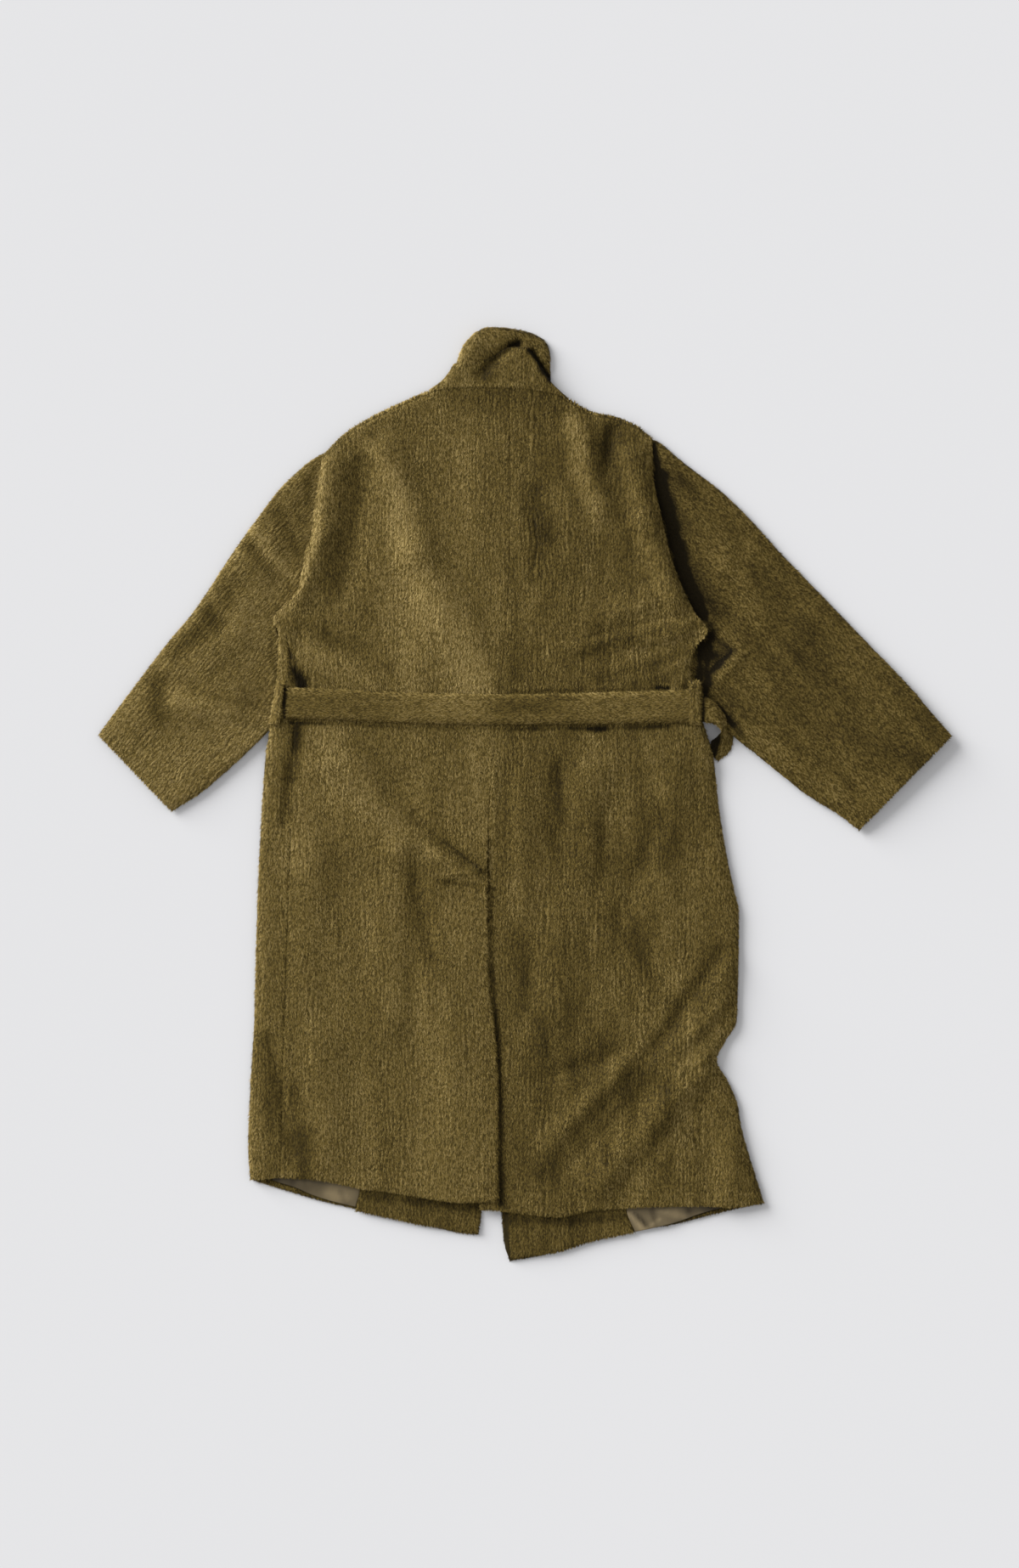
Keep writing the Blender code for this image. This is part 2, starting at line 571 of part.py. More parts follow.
# Sleeves: the under half flat on the floor, the upper half on it.
head_left = list(reversed(shift(ARMHOLE_LEFT, PILE_CLOTH - SEAM - GAP)))[1:] + UNDER_HEAD_LEFT
under_outer = shift(SLEEVE_LEFT_OUTER[:-2], UNDER_OUTER_INSET, -UNDER_OUTER_INSET) + [UNDER_LEFT_TIP]
under_inner = shift(SLEEVE_LEFT_INNER[:-1], -UNDER_INNER_INSET[0], UNDER_INNER_INSET[1]) + [UNDER_LEFT_PIT]
across_head = stations([UNDER_LEFT_TIP] + head_left + [UNDER_LEFT_PIT], UNDER_HEAD_SPACING)
sleeve = Plan(under_outer, under_inner, [], head_left, across_head, np.linspace(0.0, 1.0, 8))
make_sheet("sleeve_left_under", sleeve, PILE_CLOTH, flat_rest, "pile_cloth")
across_head = stations(joined(SLEEVE_LEFT_OUTER, SLEEVE_LEFT_INNER, SLEEVE_HEAD_LEFT, -1),
                       HEAD_SPACING, SLEEVE_LEFT_COLUMNS)
sleeve = Plan(SLEEVE_LEFT_OUTER, SLEEVE_LEFT_INNER, [], SLEEVE_HEAD_LEFT, across_head,
              np.linspace(0.0, 1.0, 17))
make_sheet("sleeve_left_upper", sleeve, PILE_CLOTH, sleeve_rest, "pile_cloth")
head_right = shift(SIDE_RIGHT[15:] + ARMHOLE_RIGHT[:-1], GAP + SEAM - PILE_CLOTH)
under_outer = shift(SLEEVE_RIGHT_OUTER[:-2], -UNDER_OUTER_INSET, -UNDER_OUTER_INSET) + [UNDER_RIGHT_TIP]
under_inner = shift(SLEEVE_RIGHT_INNER[:-1], *UNDER_INNER_INSET) + [UNDER_RIGHT_PIT]
across_head = stations([UNDER_RIGHT_PIT] + head_right + [UNDER_RIGHT_TIP], UNDER_HEAD_SPACING)
sleeve = Plan(under_inner, under_outer, [], head_right, across_head, np.linspace(0.0, 1.0, 8))
make_sheet("sleeve_right_under", sleeve, PILE_CLOTH, flat_rest, "pile_cloth")
across_head = stations(joined(SLEEVE_RIGHT_INNER, SLEEVE_RIGHT_OUTER, SLEEVE_HEAD_RIGHT, -1),
                       HEAD_SPACING, SLEEVE_RIGHT_COLUMNS)
sleeve = Plan(SLEEVE_RIGHT_INNER, SLEEVE_RIGHT_OUTER, [], SLEEVE_HEAD_RIGHT, across_head,
              np.linspace(0.0, 1.0, 17))
make_sheet("sleeve_right_upper", sleeve, PILE_CLOTH, sleeve_rest, "pile_cloth")

# Collar, turned up: the far layer on the floor, the near fold over it.
collar = Plan(COLLAR_FRONT_LEFT, COLLAR_FRONT_RIGHT, COLLAR_FRONT_NECK, COLLAR_FRONT_TOP,
              np.linspace(0.0, 1.0, 12), np.array(COLLAR_SHARES))
make_sheet("collar_front", collar, PILE_CLOTH, collar_front_rest, "pile_cloth")
across_neck = stations(joined(COLLAR_BACK_LEFT, COLLAR_BACK_RIGHT, COLLAR_BACK_NECK, 0),
                       BACK_COLUMN_SPACING, COLLAR_COLUMNS)
collar = Plan(COLLAR_BACK_LEFT, COLLAR_BACK_RIGHT, COLLAR_BACK_NECK, COLLAR_BACK_TOP,
              across_neck, np.linspace(0.0, 1.0, 6))
make_sheet("collar_back", collar, PILE_CLOTH, collar_back_rest, "pile_cloth")

# Belt, with its loops at the side seams.
belt_run = BELT_RIGHT[0][0] - BELT_LEFT_END
belt_columns = stations(joined(BELT_LEFT, BELT_RIGHT, BELT_BOTTOM, 0), BELT_SPACING,
                        [step / belt_run for step in BELT_TURN])
belt = Plan(BELT_LEFT, BELT_RIGHT, BELT_BOTTOM, BELT_TOP, belt_columns, even[::4])
make_sheet("belt_back", belt, BELT_CLOTH, belt_back_rest, "pile_cloth")
belt = Plan(BELT_SIDE_OUTER, BELT_SIDE_INNER, [], [], even[::4], np.linspace(0.0, 1.0, 13))
make_sheet("belt_side", belt, PILE_CLOTH, belt_side_rest, "pile_cloth")
belt = Plan(BELT_FRONT_LEFT, BELT_FRONT_RIGHT, [], [], even, even[::8])
make_sheet("belt_front", belt, FRONT_BELT_CLOTH, flat_rest, "pile_cloth")
loop_rows = np.array(LOOP_STATIONS) / LOOP_STATIONS[-1]
loop_columns = np.array(LOOP_COLUMNS) / LOOP_COLUMNS[-1]
loop = Plan(*LOOP_LEFT_EDGES, [], [], loop_columns, loop_rows)
make_sheet("belt_loop_left", loop, LOOP_CLOTH, loop_rest, "pile_cloth")
loop = Plan(*LOOP_RIGHT_EDGES, [], [], even[::4], loop_rows)
make_sheet("belt_loop_right", loop, LOOP_CLOTH, loop_rest, "pile_cloth")

# Two columns of buttons, hidden under the lapped fronts.
count = 0
for row_y in BUTTON_ROWS:
    for column_x in BUTTON_COLUMNS:
        count += 1
        make_button("button_%d" % count, column_x, row_y)
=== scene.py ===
"""Looks of the double-breasted overcoat: cloth with its creases and brushed pile, lining, and the stage.

Laid out as an add-on and run as a script. The coat lies with its back up on the floor at z = 0, +Y to
the collar. Objects are in metres, and every table here is in millimetres, on the plan seen from above.
"""

import bpy
import numpy as np
from bpy.props import FloatProperty, FloatVectorProperty, IntProperty, PointerProperty
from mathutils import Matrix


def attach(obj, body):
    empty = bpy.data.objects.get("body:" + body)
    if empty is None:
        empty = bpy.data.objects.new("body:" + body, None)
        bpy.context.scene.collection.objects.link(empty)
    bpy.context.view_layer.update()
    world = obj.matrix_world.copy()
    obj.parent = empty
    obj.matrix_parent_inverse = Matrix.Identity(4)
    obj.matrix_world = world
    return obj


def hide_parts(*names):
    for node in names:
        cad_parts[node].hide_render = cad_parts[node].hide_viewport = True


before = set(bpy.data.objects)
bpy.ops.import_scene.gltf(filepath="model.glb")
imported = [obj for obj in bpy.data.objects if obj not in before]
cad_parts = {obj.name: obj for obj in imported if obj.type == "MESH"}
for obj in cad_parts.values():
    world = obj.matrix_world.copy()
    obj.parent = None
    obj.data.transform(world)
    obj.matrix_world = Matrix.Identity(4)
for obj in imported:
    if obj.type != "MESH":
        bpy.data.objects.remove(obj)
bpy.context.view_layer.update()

bl_info = {
    "name": "Overcoat Looks",
    "version": (1, 0, 0),
    "blender": (4, 5, 0),
    "location": "View3D > Sidebar > Overcoat",
    "description": "Dresses the overcoat's frame with pile cloth, lining, belt and a studio floor",
    "category": "Object",
}

MM = 0.001

# Heights: the thickness of what lies on the floor, then the undersides of the layers.
FRONT_TOP = 4.0
ON_FRONT = 4.4
BACK_REST = 10.5
SLEEVE_REST = 9.0
SLEEVE_TUCK = 9.0
BELT_REST = 19.5
LOOP_OVER_BELT = 24.9
LOOP_ON_BACK = 4.0

# Widths over which sheets turn down at their edges, and how low the right armhole goes.
EDGE_ROUND = 22.0
ARMHOLE_ROUND = 10.0
ARMHOLE_RIGHT_ROUND = 11.0
ARMHOLE_RIGHT_LOW = 13.5
ARMHOLE_RIGHT_EASE = 0.45
BELT_ROUND = 12.0

# Lifts and laps, with the rows in y, columns in x or distances over which they come and go.
STRIP_LIFT = 5.5
STRIP_ROWS = (92.0, 112.0, 246.0, 262.0)
UNDER_LIFT = 4.6
LIFT_ROWS = (10.0, 64.0, 186.0, 222.0)
STAND_ROWS = (-90.0, -20.0, 400.0, 470.0)
STAND_COLUMNS = (-190.0, -132.0, 60.0, 125.0)
RIGHT_SIDE_X = 260.0
FRONT_TUCK = 4.0
SEAM_GAP = 0.2
UNDER_GAP = 3.0
FRONT_LAP = 4.8
FRONT_LAP_START = (-480.0, -400.0)
FRONT_LAP_RUN = (45.0, 100.0)
VENT_LAP = 5.6
VENT_ROWS = (-95.0, -40.0)
VENT_RUN = (-115.0, -72.0)
VENT_CALM = 0.75
VENT_CALM_RUN = (40.0, 90.0)
VENT_CALM_ROWS = (-60.0, -110.0)
BELT_FLAT = (28.0, 66.0, 196.0, 240.0)
ARMHOLE_LEFT_ROWS = (236.0, 256.0)
ARMHOLE_RIGHT_ROWS = (196.0, 216.0)
SHOULDER_LEFT_COLUMNS = (-165.0, -120.0)
SHOULDER_RIGHT_COLUMNS = (70.0, 105.0)
TUCK_LEFT_COLUMNS = (-284.0, -255.0)
TUCK_RIGHT_COLUMNS = (140.0, 170.0)
TUCK_RUN = (13.0, 56.0)
TUCK_END = 16.0
TUCK_ROWS = (380.0, 500.0)
HEAD_LIFT = 0.7
HEAD_ROWS = (470.0, 520.0)
CUFF_RISE = 6.0
CUFF_COLUMNS = (430.0, 610.0)
LOOP_ROWS = (102.0, 107.0, 161.0, 167.0)
FOLD_LIMITS = (-1.5, 14.0)
CREASE_LIMITS = (-5.0, 5.0)
LINING_SLACK = 14.0
LINING_LOOSE = 2.4

# The collar: its far layer rolls up to a peak behind the near fold, which rises to a tip of its own.
FAR_SHOWN = (-14.0, 1.0)
FAR_PEAK = 12.0
FAR_FALL = 5.0
FAR_FALL_COLUMNS = (-40.0, 0.0)
FAR_ROUND = 15.0
FAR_SAG = 0.3
FAR_SAG_RUN = (18.0, 40.0)
NEAR_LIFT = 1.6
NEAR_RISE = 5.0
NEAR_RISE_COLUMNS = (-70.0, -5.0)
NEAR_TIP = 2.0
NEAR_TIP_SHARES = (0.4, 0.8)

# The bow of the belt: heights of its two edges, and the shares of its length over which they fall.
BOW_OUTER = 19.0
BOW_OUTER_FALL = (0.05, 0.55)
BOW_INNER = 20.0
BOW_INNER_DROP = 14.0
BOW_INNER_FALL = (0.2, 1.0)

# Where the pile of the back does not turn out freely: neck, armholes and centre seam.
NECK_COLUMNS = (-150.0, -110.0, 30.0, 60.0)
NECK_ROWS = (560.0, 580.0)
ARMHOLE_ROWS = (190.0, 220.0, 524.0, 552.0)
ARMHOLE_HOLD = 0.7
SEAM_COLUMNS = (-110.0, -80.0, 10.0, 40.0)
SEAM_ROWS = (-130.0, -100.0)

# Noises as rows of amount, factor on the second axis, size and seed.
BACK_RIPPLE = [(0.9, 1.0, 70.0, 3), (0.2, 0.5, 24.0, 4)]
SLEEVE_RIPPLE = [(0.9, 1.0, 60.0, 5)]
LINING_WAVES = [(0.5, 0.4, 26.0, 6)]
LINING_RIPPLE = [(0.5, 1.0, 11.0, 7)]
BELT_RIPPLE = [(0.5, 1.0, 55.0, 8)]
SHADE_DRIFT = [(0.06, 0.45, 40.0, 11), (0.05, 0.14, 14.0, 12)]
SHADE_RAGGED = [(1.0, 0.4, 17.0, 13), (0.5, 0.4, 6.0, 14)]
SHADE_MOTTLE = [(0.07, 0.35, 16.0, 15), (0.06, 0.3, 10.0, 16)]
LOCK_TURN = [(0.5, 0.6, 2.4, 21)]
NAP_TURN = [(0.3, 1.0, 58.0, 22)]
RIB_BEND = [(0.8, 0.35, 19.0, 24), (0.3, 0.5, 6.0, 28)]
LOCKS = [(1.2, 0.6, 1.3, 25)]
RIB_FADE = [(0.5, 0.3, 21.0, 26)]
RIB_BREAK = [(0.7, 0.4, 5.0, 27)]

# Points on a side of the noise's lattice, and along an edge that is looked up.
LATTICE = 61
EDGE_STEPS = 400

# A sheet's rim: its common width, the share of it in the first step, and the thickness left at the edge.
RIM = 3.0
RIM_STEP = 0.3
RIM_THIN = 0.15

# Spacing of the points on the sheets.
HIDDEN_SPACING = 14.0
BACK_SPACING = 7.5
SLEEVE_SPACING = 7.0
FACING_SPACING = 7.0
STRIP_SPACING = 5.0
BELT_SPACING = 4.5
COLLAR_SPACING = 4.0
LINING_SPACING = 4.0
BOW_SPACING = 3.0
LOOP_SPACING = 2.6

# Naps, how far hairs turn out at the left, right, bottom and top edge, and how far from it that reaches.
DOWN = (0.0, -1.0)
LEFTWARD = (-1.0, 0.0)
SLEEVE_LEFT_NAP = (-0.62, -0.78)
SLEEVE_RIGHT_NAP = (0.66, -0.75)
COLLAR_NAP = (0.35, -0.94)
EDGE_PUSH = (0.8, 0.8, 0.0, 2.2)
EDGE_REACH = 5.0
FRINGE_REACH = 4.0

# In metres: pile that hasn't the common length, cloth of bow and loops, and a hair's least height.
HEM_PILE = 0.0040
FACING_PILE = 0.0042
COLLAR_PILE = 0.0040
LOOP_PILE = 0.0037
BOW_CLOTH = 0.0026
LOOP_CLOTH = 0.0016
FLOOR_GAP = 0.0002

# The floor's size and how far it lies below the coat, in metres, and its subdivisions.
FLOOR_SIZE = 30.0
FLOOR_DROP = 0.0004
FLOOR_PARTS = 8

WHITE = (1.0, 1.0, 1.0)

# How hairs differ by their lock, by their rib and by chance. A pair is the least and what chance adds,
# or two limits. A normal that points lower than TURNED_OVER is turned round.
LOCK_LIMITS = (-0.60, 0.90)
RIB_FADE_LEVEL = 0.7
RIB_BREAK_LEVEL = 0.9
RIB_TURN = 0.45
HAIR_TURN = 0.20
LOCK_LIFT = 0.30
HAIR_LIFT = 0.25
HAIR_LENGTH = (0.65, 0.6)
FRINGE_LENGTH = (-0.35, 0.95)
HAIR_WIDTH = (0.7, 0.6)
RIB_SHADE = 0.44
HAIR_SHADE = 0.32
HAIR_SHADE_LIMITS = (0.38, 2.1)
LOCK_TILT = 0.5
RIB_TILT = 0.5
BLADE_TILT = 0.3
FLANK_TILT = 0.2
TURNED_OVER = -0.05

# How hairs are spread: square centimetres in a square metre, even steps with a jitter, and a step of seeds.
CENTIMETRES = 1e4
EVEN_STEPS = (0.7548777, 0.5698403)
EVEN_JITTER = 0.2
SEED_STEP = 1000

# Maps: limits of a shell's upper half, the shift to its under half, and the corners of a hair.
MAP_EDGE = 0.01
MAP_HALF = 0.48
MAP_SHIFT = 0.51
HAIR_MAP = [(-0.002, 0.04), (0.002, 0.04), (0.0, 0.96)]

# Cut edges as x, y. Side, seam and front edges run from the hem up.
SIDE_LEFT = [(-405, -569), (-408, -520), (-405, -431), (-399, -331), (-396, -206), (-391, -81),
             (-383, 46), (-377, 89), (-372, 118), (-368, 141), (-364, 176), (-362, 207),
             (-361, 232), (-367, 254)]
ARMHOLE_LEFT = [(-373, 255), (-349, 283), (-335, 301), (-324, 357), (-315, 383), (-311, 418),
                (-303, 469), (-298, 500)]
SEAM_LEFT = [(-361, -565), (-357, -400), (-350, -200), (-345, -50), (-342, 60), (-340, 130),
             (-344, 190), (-352, 234)]
SEAM_LEFT_TIP = (-354, 254)
CENTRE_HEM = [(-40, -599), (-40, -431), (-48, -326), (-55, -281), (-56, -116)]
CENTRE_SEAM = [(-56, -104), (-53, -30), (-47, 60), (-39, 140), (-31, 210), (-26, 280), (-23, 360),
               (-22, 440), (-23, 608)]
UNDERLAP = [(-66, -613), (-76, -431), (-86, -326), (-92, -200), (-86, -140)]
SIDE_RIGHT = [(354, -603), (337, -549), (319, -487), (314, -456), (301, -424), (283, -390),
              (296, -362), (313, -331), (316, -174), (309, -143), (296, -81), (286, -18),
              (278, 52), (263, 105), (253, 140), (244, 188), (251, 215)]
ARMHOLE_RIGHT = [(270, 241), (252, 265), (234, 298), (214, 352), (199, 416), (189, 467), (187, 526)]
FRONT_EDGE_LEFT = [(-68, -650), (-63, -613), (-58, -400), (-20, -100), (15, 150), (12, 330),
                   (0, 480), (-5, 589)]
FRONT_EDGE_RIGHT = [(-22, -689), (-31, -674), (-36, -617), (-45, -400), (-85, -100), (-115, 150),
                    (-100, 330), (-70, 480), (-50, 588)]
SLEEVE_LEFT_OUTER = [(-629, 86), (-609, 114), (-584, 147), (-524, 226), (-488, 269), (-423, 367),
                     (-380, 426), (-362, 449), (-306, 499), (-291, 506)]
SLEEVE_LEFT_INNER = [(-520, -25), (-476, 3), (-453, 22), (-410, 61), (-379.5, 91)]
SLEEVE_RIGHT_OUTER = [(629, 85), (598, 120), (566, 158), (506, 221), (460, 269), (375, 357),
                      (329, 408), (286, 449), (227, 494), (196, 520), (179, 526)]
SLEEVE_RIGHT_INNER = [(491, -53), (463, -31), (417, -2), (379, 28), (343, 58), (308, 88),
                      (287, 121), (267, 141)]
COLLAR_FRONT_LEFT = [(-120, 594), (-108, 618), (-101, 638), (-92, 660), (-72, 681)]
COLLAR_FRONT_RIGHT = [(58, 585), (46, 595), (39, 607), (38, 621), (38, 642), (35, 658), (25, 671)]
COLLAR_BACK_LEFT = [(-143, 594.2), (-121, 611), (-105, 634)]
COLLAR_BACK_RIGHT = [(60, 585), (38, 606), (20, 632), (4, 657)]
BELT_LEFT = [(-374, 111), (-368, 158)]
BELT_RIGHT = [(257, 105), (257, 156)]
BELT_FRONT_LEFT = [(-376, 107), (-376, 153)]
BELT_FRONT_RIGHT = [(246, 107), (246, 153)]
BELT_SIDE_OUTER = [(248, 150), (274, 139), (291, 120), (302, 102), (307, 82), (303, 66), (285, 50)]
BELT_SIDE_INNER = [(248, 107), (270, 105), (282, 100.5), (288, 91), (280, 84), (272, 76), (272, 60)]
LOOP_LEFT_EDGES = ([(-377, 103), (-366, 166)], [(-360, 103), (-353, 166)])
LOOP_RIGHT_EDGES = ([(241, 103), (240, 167)], [(258, 103), (256, 167)])
FACING_LEFT_EDGES = ([(-248.5, -611), (-242.5, -583), (-241, -480)], [(-70, -642), (-64, -480)])
LINING_LEFT_EDGES = ([(-372, -567), (-372, -480)], [(-249.5, -606), (-243.5, -583), (-242, -480)])
FACING_RIGHT_EDGES = ([(-20, -680), (-32, -490)], [(160, -643), (147.5, -611), (145, -490)])
LINING_RIGHT_EDGES = ([(161.5, -643), (149, -611), (146.5, -490)], [(338, -597), (306, -490)])

# Points between the corners on hems, shoulders and sleeve heads, from left to right.
BACK_HEM_LEFT = [(-311, -568), (-280, -573), (-245, -581), (-201, -586), (-145, -595), (-94, -601)]
BACK_HEM_RIGHT = [(-36, -614), (13, -620), (47, -623), (99, -613), (148, -610), (194, -608),
                  (257, -607), (300, -609)]
SHOULDER_LEFT = [(-265, 533), (-228, 556), (-185, 577), (-142, 595), (-92, 606)]
SHOULDER_RIGHT = [(34, 600), (62, 584), (101, 564), (127, 559), (160, 546)]
FRONT_HEM_LEFT = [(-334, -590), (-296, -601), (-239, -614), (-181, -629), (-142, -637), (-85, -649)]
FRONT_HEM_RIGHT = [(42, -677), (99, -660), (159, -646), (214, -636), (265, -623), (314, -611)]
FRONT_SHOULDER_LEFT = [(-262, 529), (-228, 551), (-185, 572), (-142, 588), (-70, 592)]
FRONT_SHOULDER_RIGHT = [(39, 586), (62, 577), (101, 558), (127, 553), (160, 540)]
SLEEVE_HEAD_LEFT = [(-291, 468), (-299, 418), (-303, 386), (-312, 357), (-324, 308), (-340, 286),
                    (-360, 261), (-366, 243), (-354, 220), (-354, 190), (-358, 165), (-366, 160),
                    (-368, 108)]
SLEEVE_HEAD_RIGHT = [(246, 152), (236, 188), (242, 213), (252, 240), (239, 262), (222, 296),
                     (202, 350), (187, 415), (177, 467)]
UNDER_HEAD_LEFT = [(-296, 469), (-304, 418), (-308, 383), (-317, 357), (-328, 301), (-342, 283),
                   (-366, 255), (-358, 232), (-359, 207), (-361, 182), (-378, 160), (-378.5, 101)]
COLLAR_FRONT_TOP = [(-53, 689), (-36, 689), (-15, 686), (6, 681)]
COLLAR_FRONT_NECK = [(-70, 592.4), (-5, 589.5), (39, 589)]
COLLAR_BACK_TOP = [(-80, 634), (-50, 643), (-22, 657)]
COLLAR_BACK_NECK = [(-92, 601), (-23, 601), (39, 593)]
BELT_TOP = [(-353, 158), (-200, 152), (-23, 148), (120, 151)]
BELT_BOTTOM = [(-353, 111), (-200, 105), (-23, 102), (120, 103)]
FACING_LEFT_HEM = [(-181, -626), (-142, -634)]
LINING_LEFT_HEM = [(-334, -579), (-317, -587), (-294, -595), (-272, -601)]
FACING_RIGHT_HEM = [(42, -673), (99, -656)]
LINING_RIGHT_HEM = [(190, -637), (225, -628), (252, -618), (290, -607)]

# A front shows below the lower edge of facing and lining together, and beside the facing from a point on.
HEM_STRIP_LEFT = [(-405, -557), (-372, -567), *LINING_LEFT_HEM, (-249, -606), (-248, -611),
                  *FACING_LEFT_HEM, (-70, -642)]
HEM_STRIP_RIGHT = [(-20, -680), *FACING_RIGHT_HEM, (160, -643), *LINING_RIGHT_HEM, (338, -597)]
EDGE_STRIP_LEFT = (-70.0, -480.0)
EDGE_STRIP_RIGHT = (-30.0, -490.0)

# Folds and creases as a line from x, y to x, y, with half width and height. Troughs are negative.
BACK_FOLDS = [
    (-204, 494, -161, 357, 48, 7.0),
    (-161, 357, -70, 215, 46, 6.0),
    (-236, 482, -261, 307, 42, -1.5),
    (-281, 480, -296, 380, 28, 6.0),
    (-296, 380, -330, 292, 28, 6.0),
    (-335, 268, -225, 200, 30, 4.0),
    (77, 532, 114, 419, 32, 6.0),
    (127, 532, 116, 469, 22, -1.5),
    (160, 495, 178, 400, 30, 9.0),
    (178, 400, 225, 285, 32, 11.0),
    (235, 246, 60, 205, 24, 6.0),
    (205, 300, 90, 255, 24, 3.0),
    (-311, 45, -186, -81, 44, 8.0),
    (-186, -81, -118, -125, 38, 6.0),
    (-200, -150, -196, -330, 46, 5.0),
    (-90, -190, -96, -420, 34, 3.0),
    (-310, -80, -330, -300, 40, 3.0),
    (-300, -360, -296, -540, 44, 4.0),
    (104, 40, 89, -100, 38, 6.0),
    (0, 20, -8, -160, 34, 4.0),
    (220, 20, 200, -150, 40, 3.0),
    (60, -180, 30, -360, 46, 3.0),
    (300, -250, 214, -395, 34, 5.0),
    (270, -390, 196, -470, 34, 10.0),
    (196, -470, 110, -570, 34, 8.0),
    (150, -400, 40, -510, 30, 6.0),
    (310, -500, 300, -590, 30, 4.0),
]
BACK_CREASES = [
    (-238, 480, -262, 310, 26, -3.5),
    (-332, 236, -318, 165, 14, -4.5),
    (-340, 262, -226, 172, 16, 2.5),
    (-290, 240, -205, 180, 14, -2.0),
    (128, 536, 116, 470, 16, -3.0),
    (92, 520, 118, 430, 18, 2.0),
    (8, 460, 14, 345, 24, -1.5),
    (40, 184, 235, 238, 12, 3.0),
    (60, 172, 215, 205, 11, -3.0),
    (100, 232, 230, 262, 12, -2.5),
    (130, 262, 225, 292, 12, 2.0),
    (-342, 92, -354, -40, 12, -4.0),
    (-300, 92, -215, 10, 18, 2.5),
    (-262, 88, -160, -30, 18, -1.6),
    (-160, -30, -84, -100, 15, -4.5),
    (-84, -100, -56, -122, 10, -3.0),
    (-120, -122, -66, -108, 9, 2.5),
    (-160, -130, -132, -245, 18, -4.0),
    (-48, 92, -46, -60, 12, 2.0),
    (60, 84, 45, 10, 20, -2.4),
    (84, 60, 76, -40, 20, 1.2),
    (200, -30, 140, -180, 24, -2.0),
    (140, -180, 200, -280, 26, -2.0),
    (120, -20, 104, -150, 18, -1.5),
    (292, -232, 204, -356, 19, -3.2),
    (204, -356, 60, -512, 19, -3.0),
    (232, -360, 120, -480, 16, 2.2),
    (212, -384, 66, -545, 15, -2.6),
    (16, -420, 138, -380, 15, -2.5),
    (296, -300, 250, -350, 14, 3.0),
    (286, -388, 240, -412, 13, -3.0),
    (-372, -360, -342, -530, 16, -3.0),
    (-250, -380, -226, -560, 26, -1.5),
    (-128, -300, -120, -500, 24, -1.2),
    (170, -470, 150, -590, 22, -2.0),
    (260, -440, 270, -590, 24, -1.5),
]
SLEEVE_FOLDS = [
    (-420, 340, -350, 320, 30, 4.0),
    (-545, 120, -430, 140, 40, 4.0),
    (-470, 200, -400, 250, 34, 3.0),
    (300, 330, 350, 250, 40, 4.0),
    (390, 210, 500, 60, 50, 4.0),
    (420, 260, 540, 120, 40, 3.0),
]
SLEEVE_CREASES = [
    (-404, 384, -338, 334, 15, 3.5),
    (-398, 360, -342, 312, 14, -3.0),
    (-420, 318, -372, 280, 16, -2.0),
    (-524, 168, -388, 132, 18, -3.0),
    (-510, 138, -400, 108, 16, 2.5),
    (-580, 110, -500, 40, 26, 1.5),
    (-470, 236, -398, 196, 20, -2.0),
    (320, 380, 300, 260, 20, -1.5),
    (330, 240, 450, 90, 22, -2.0),
    (360, 150, 470, 20, 22, 2.0),
    (440, 240, 560, 100, 24, -1.5),
    (312, 200, 268, 156, 18, 4.5),
    (300, 190, 330, 130, 18, 1.5),
]
COLLAR_CREASES = [
    (-68, 616, -42, 642, 15, -4.0),
    (-42, 642, -12, 662, 14, -5.0),
    (10, 652, 40, 606, 10, -7.0),
]

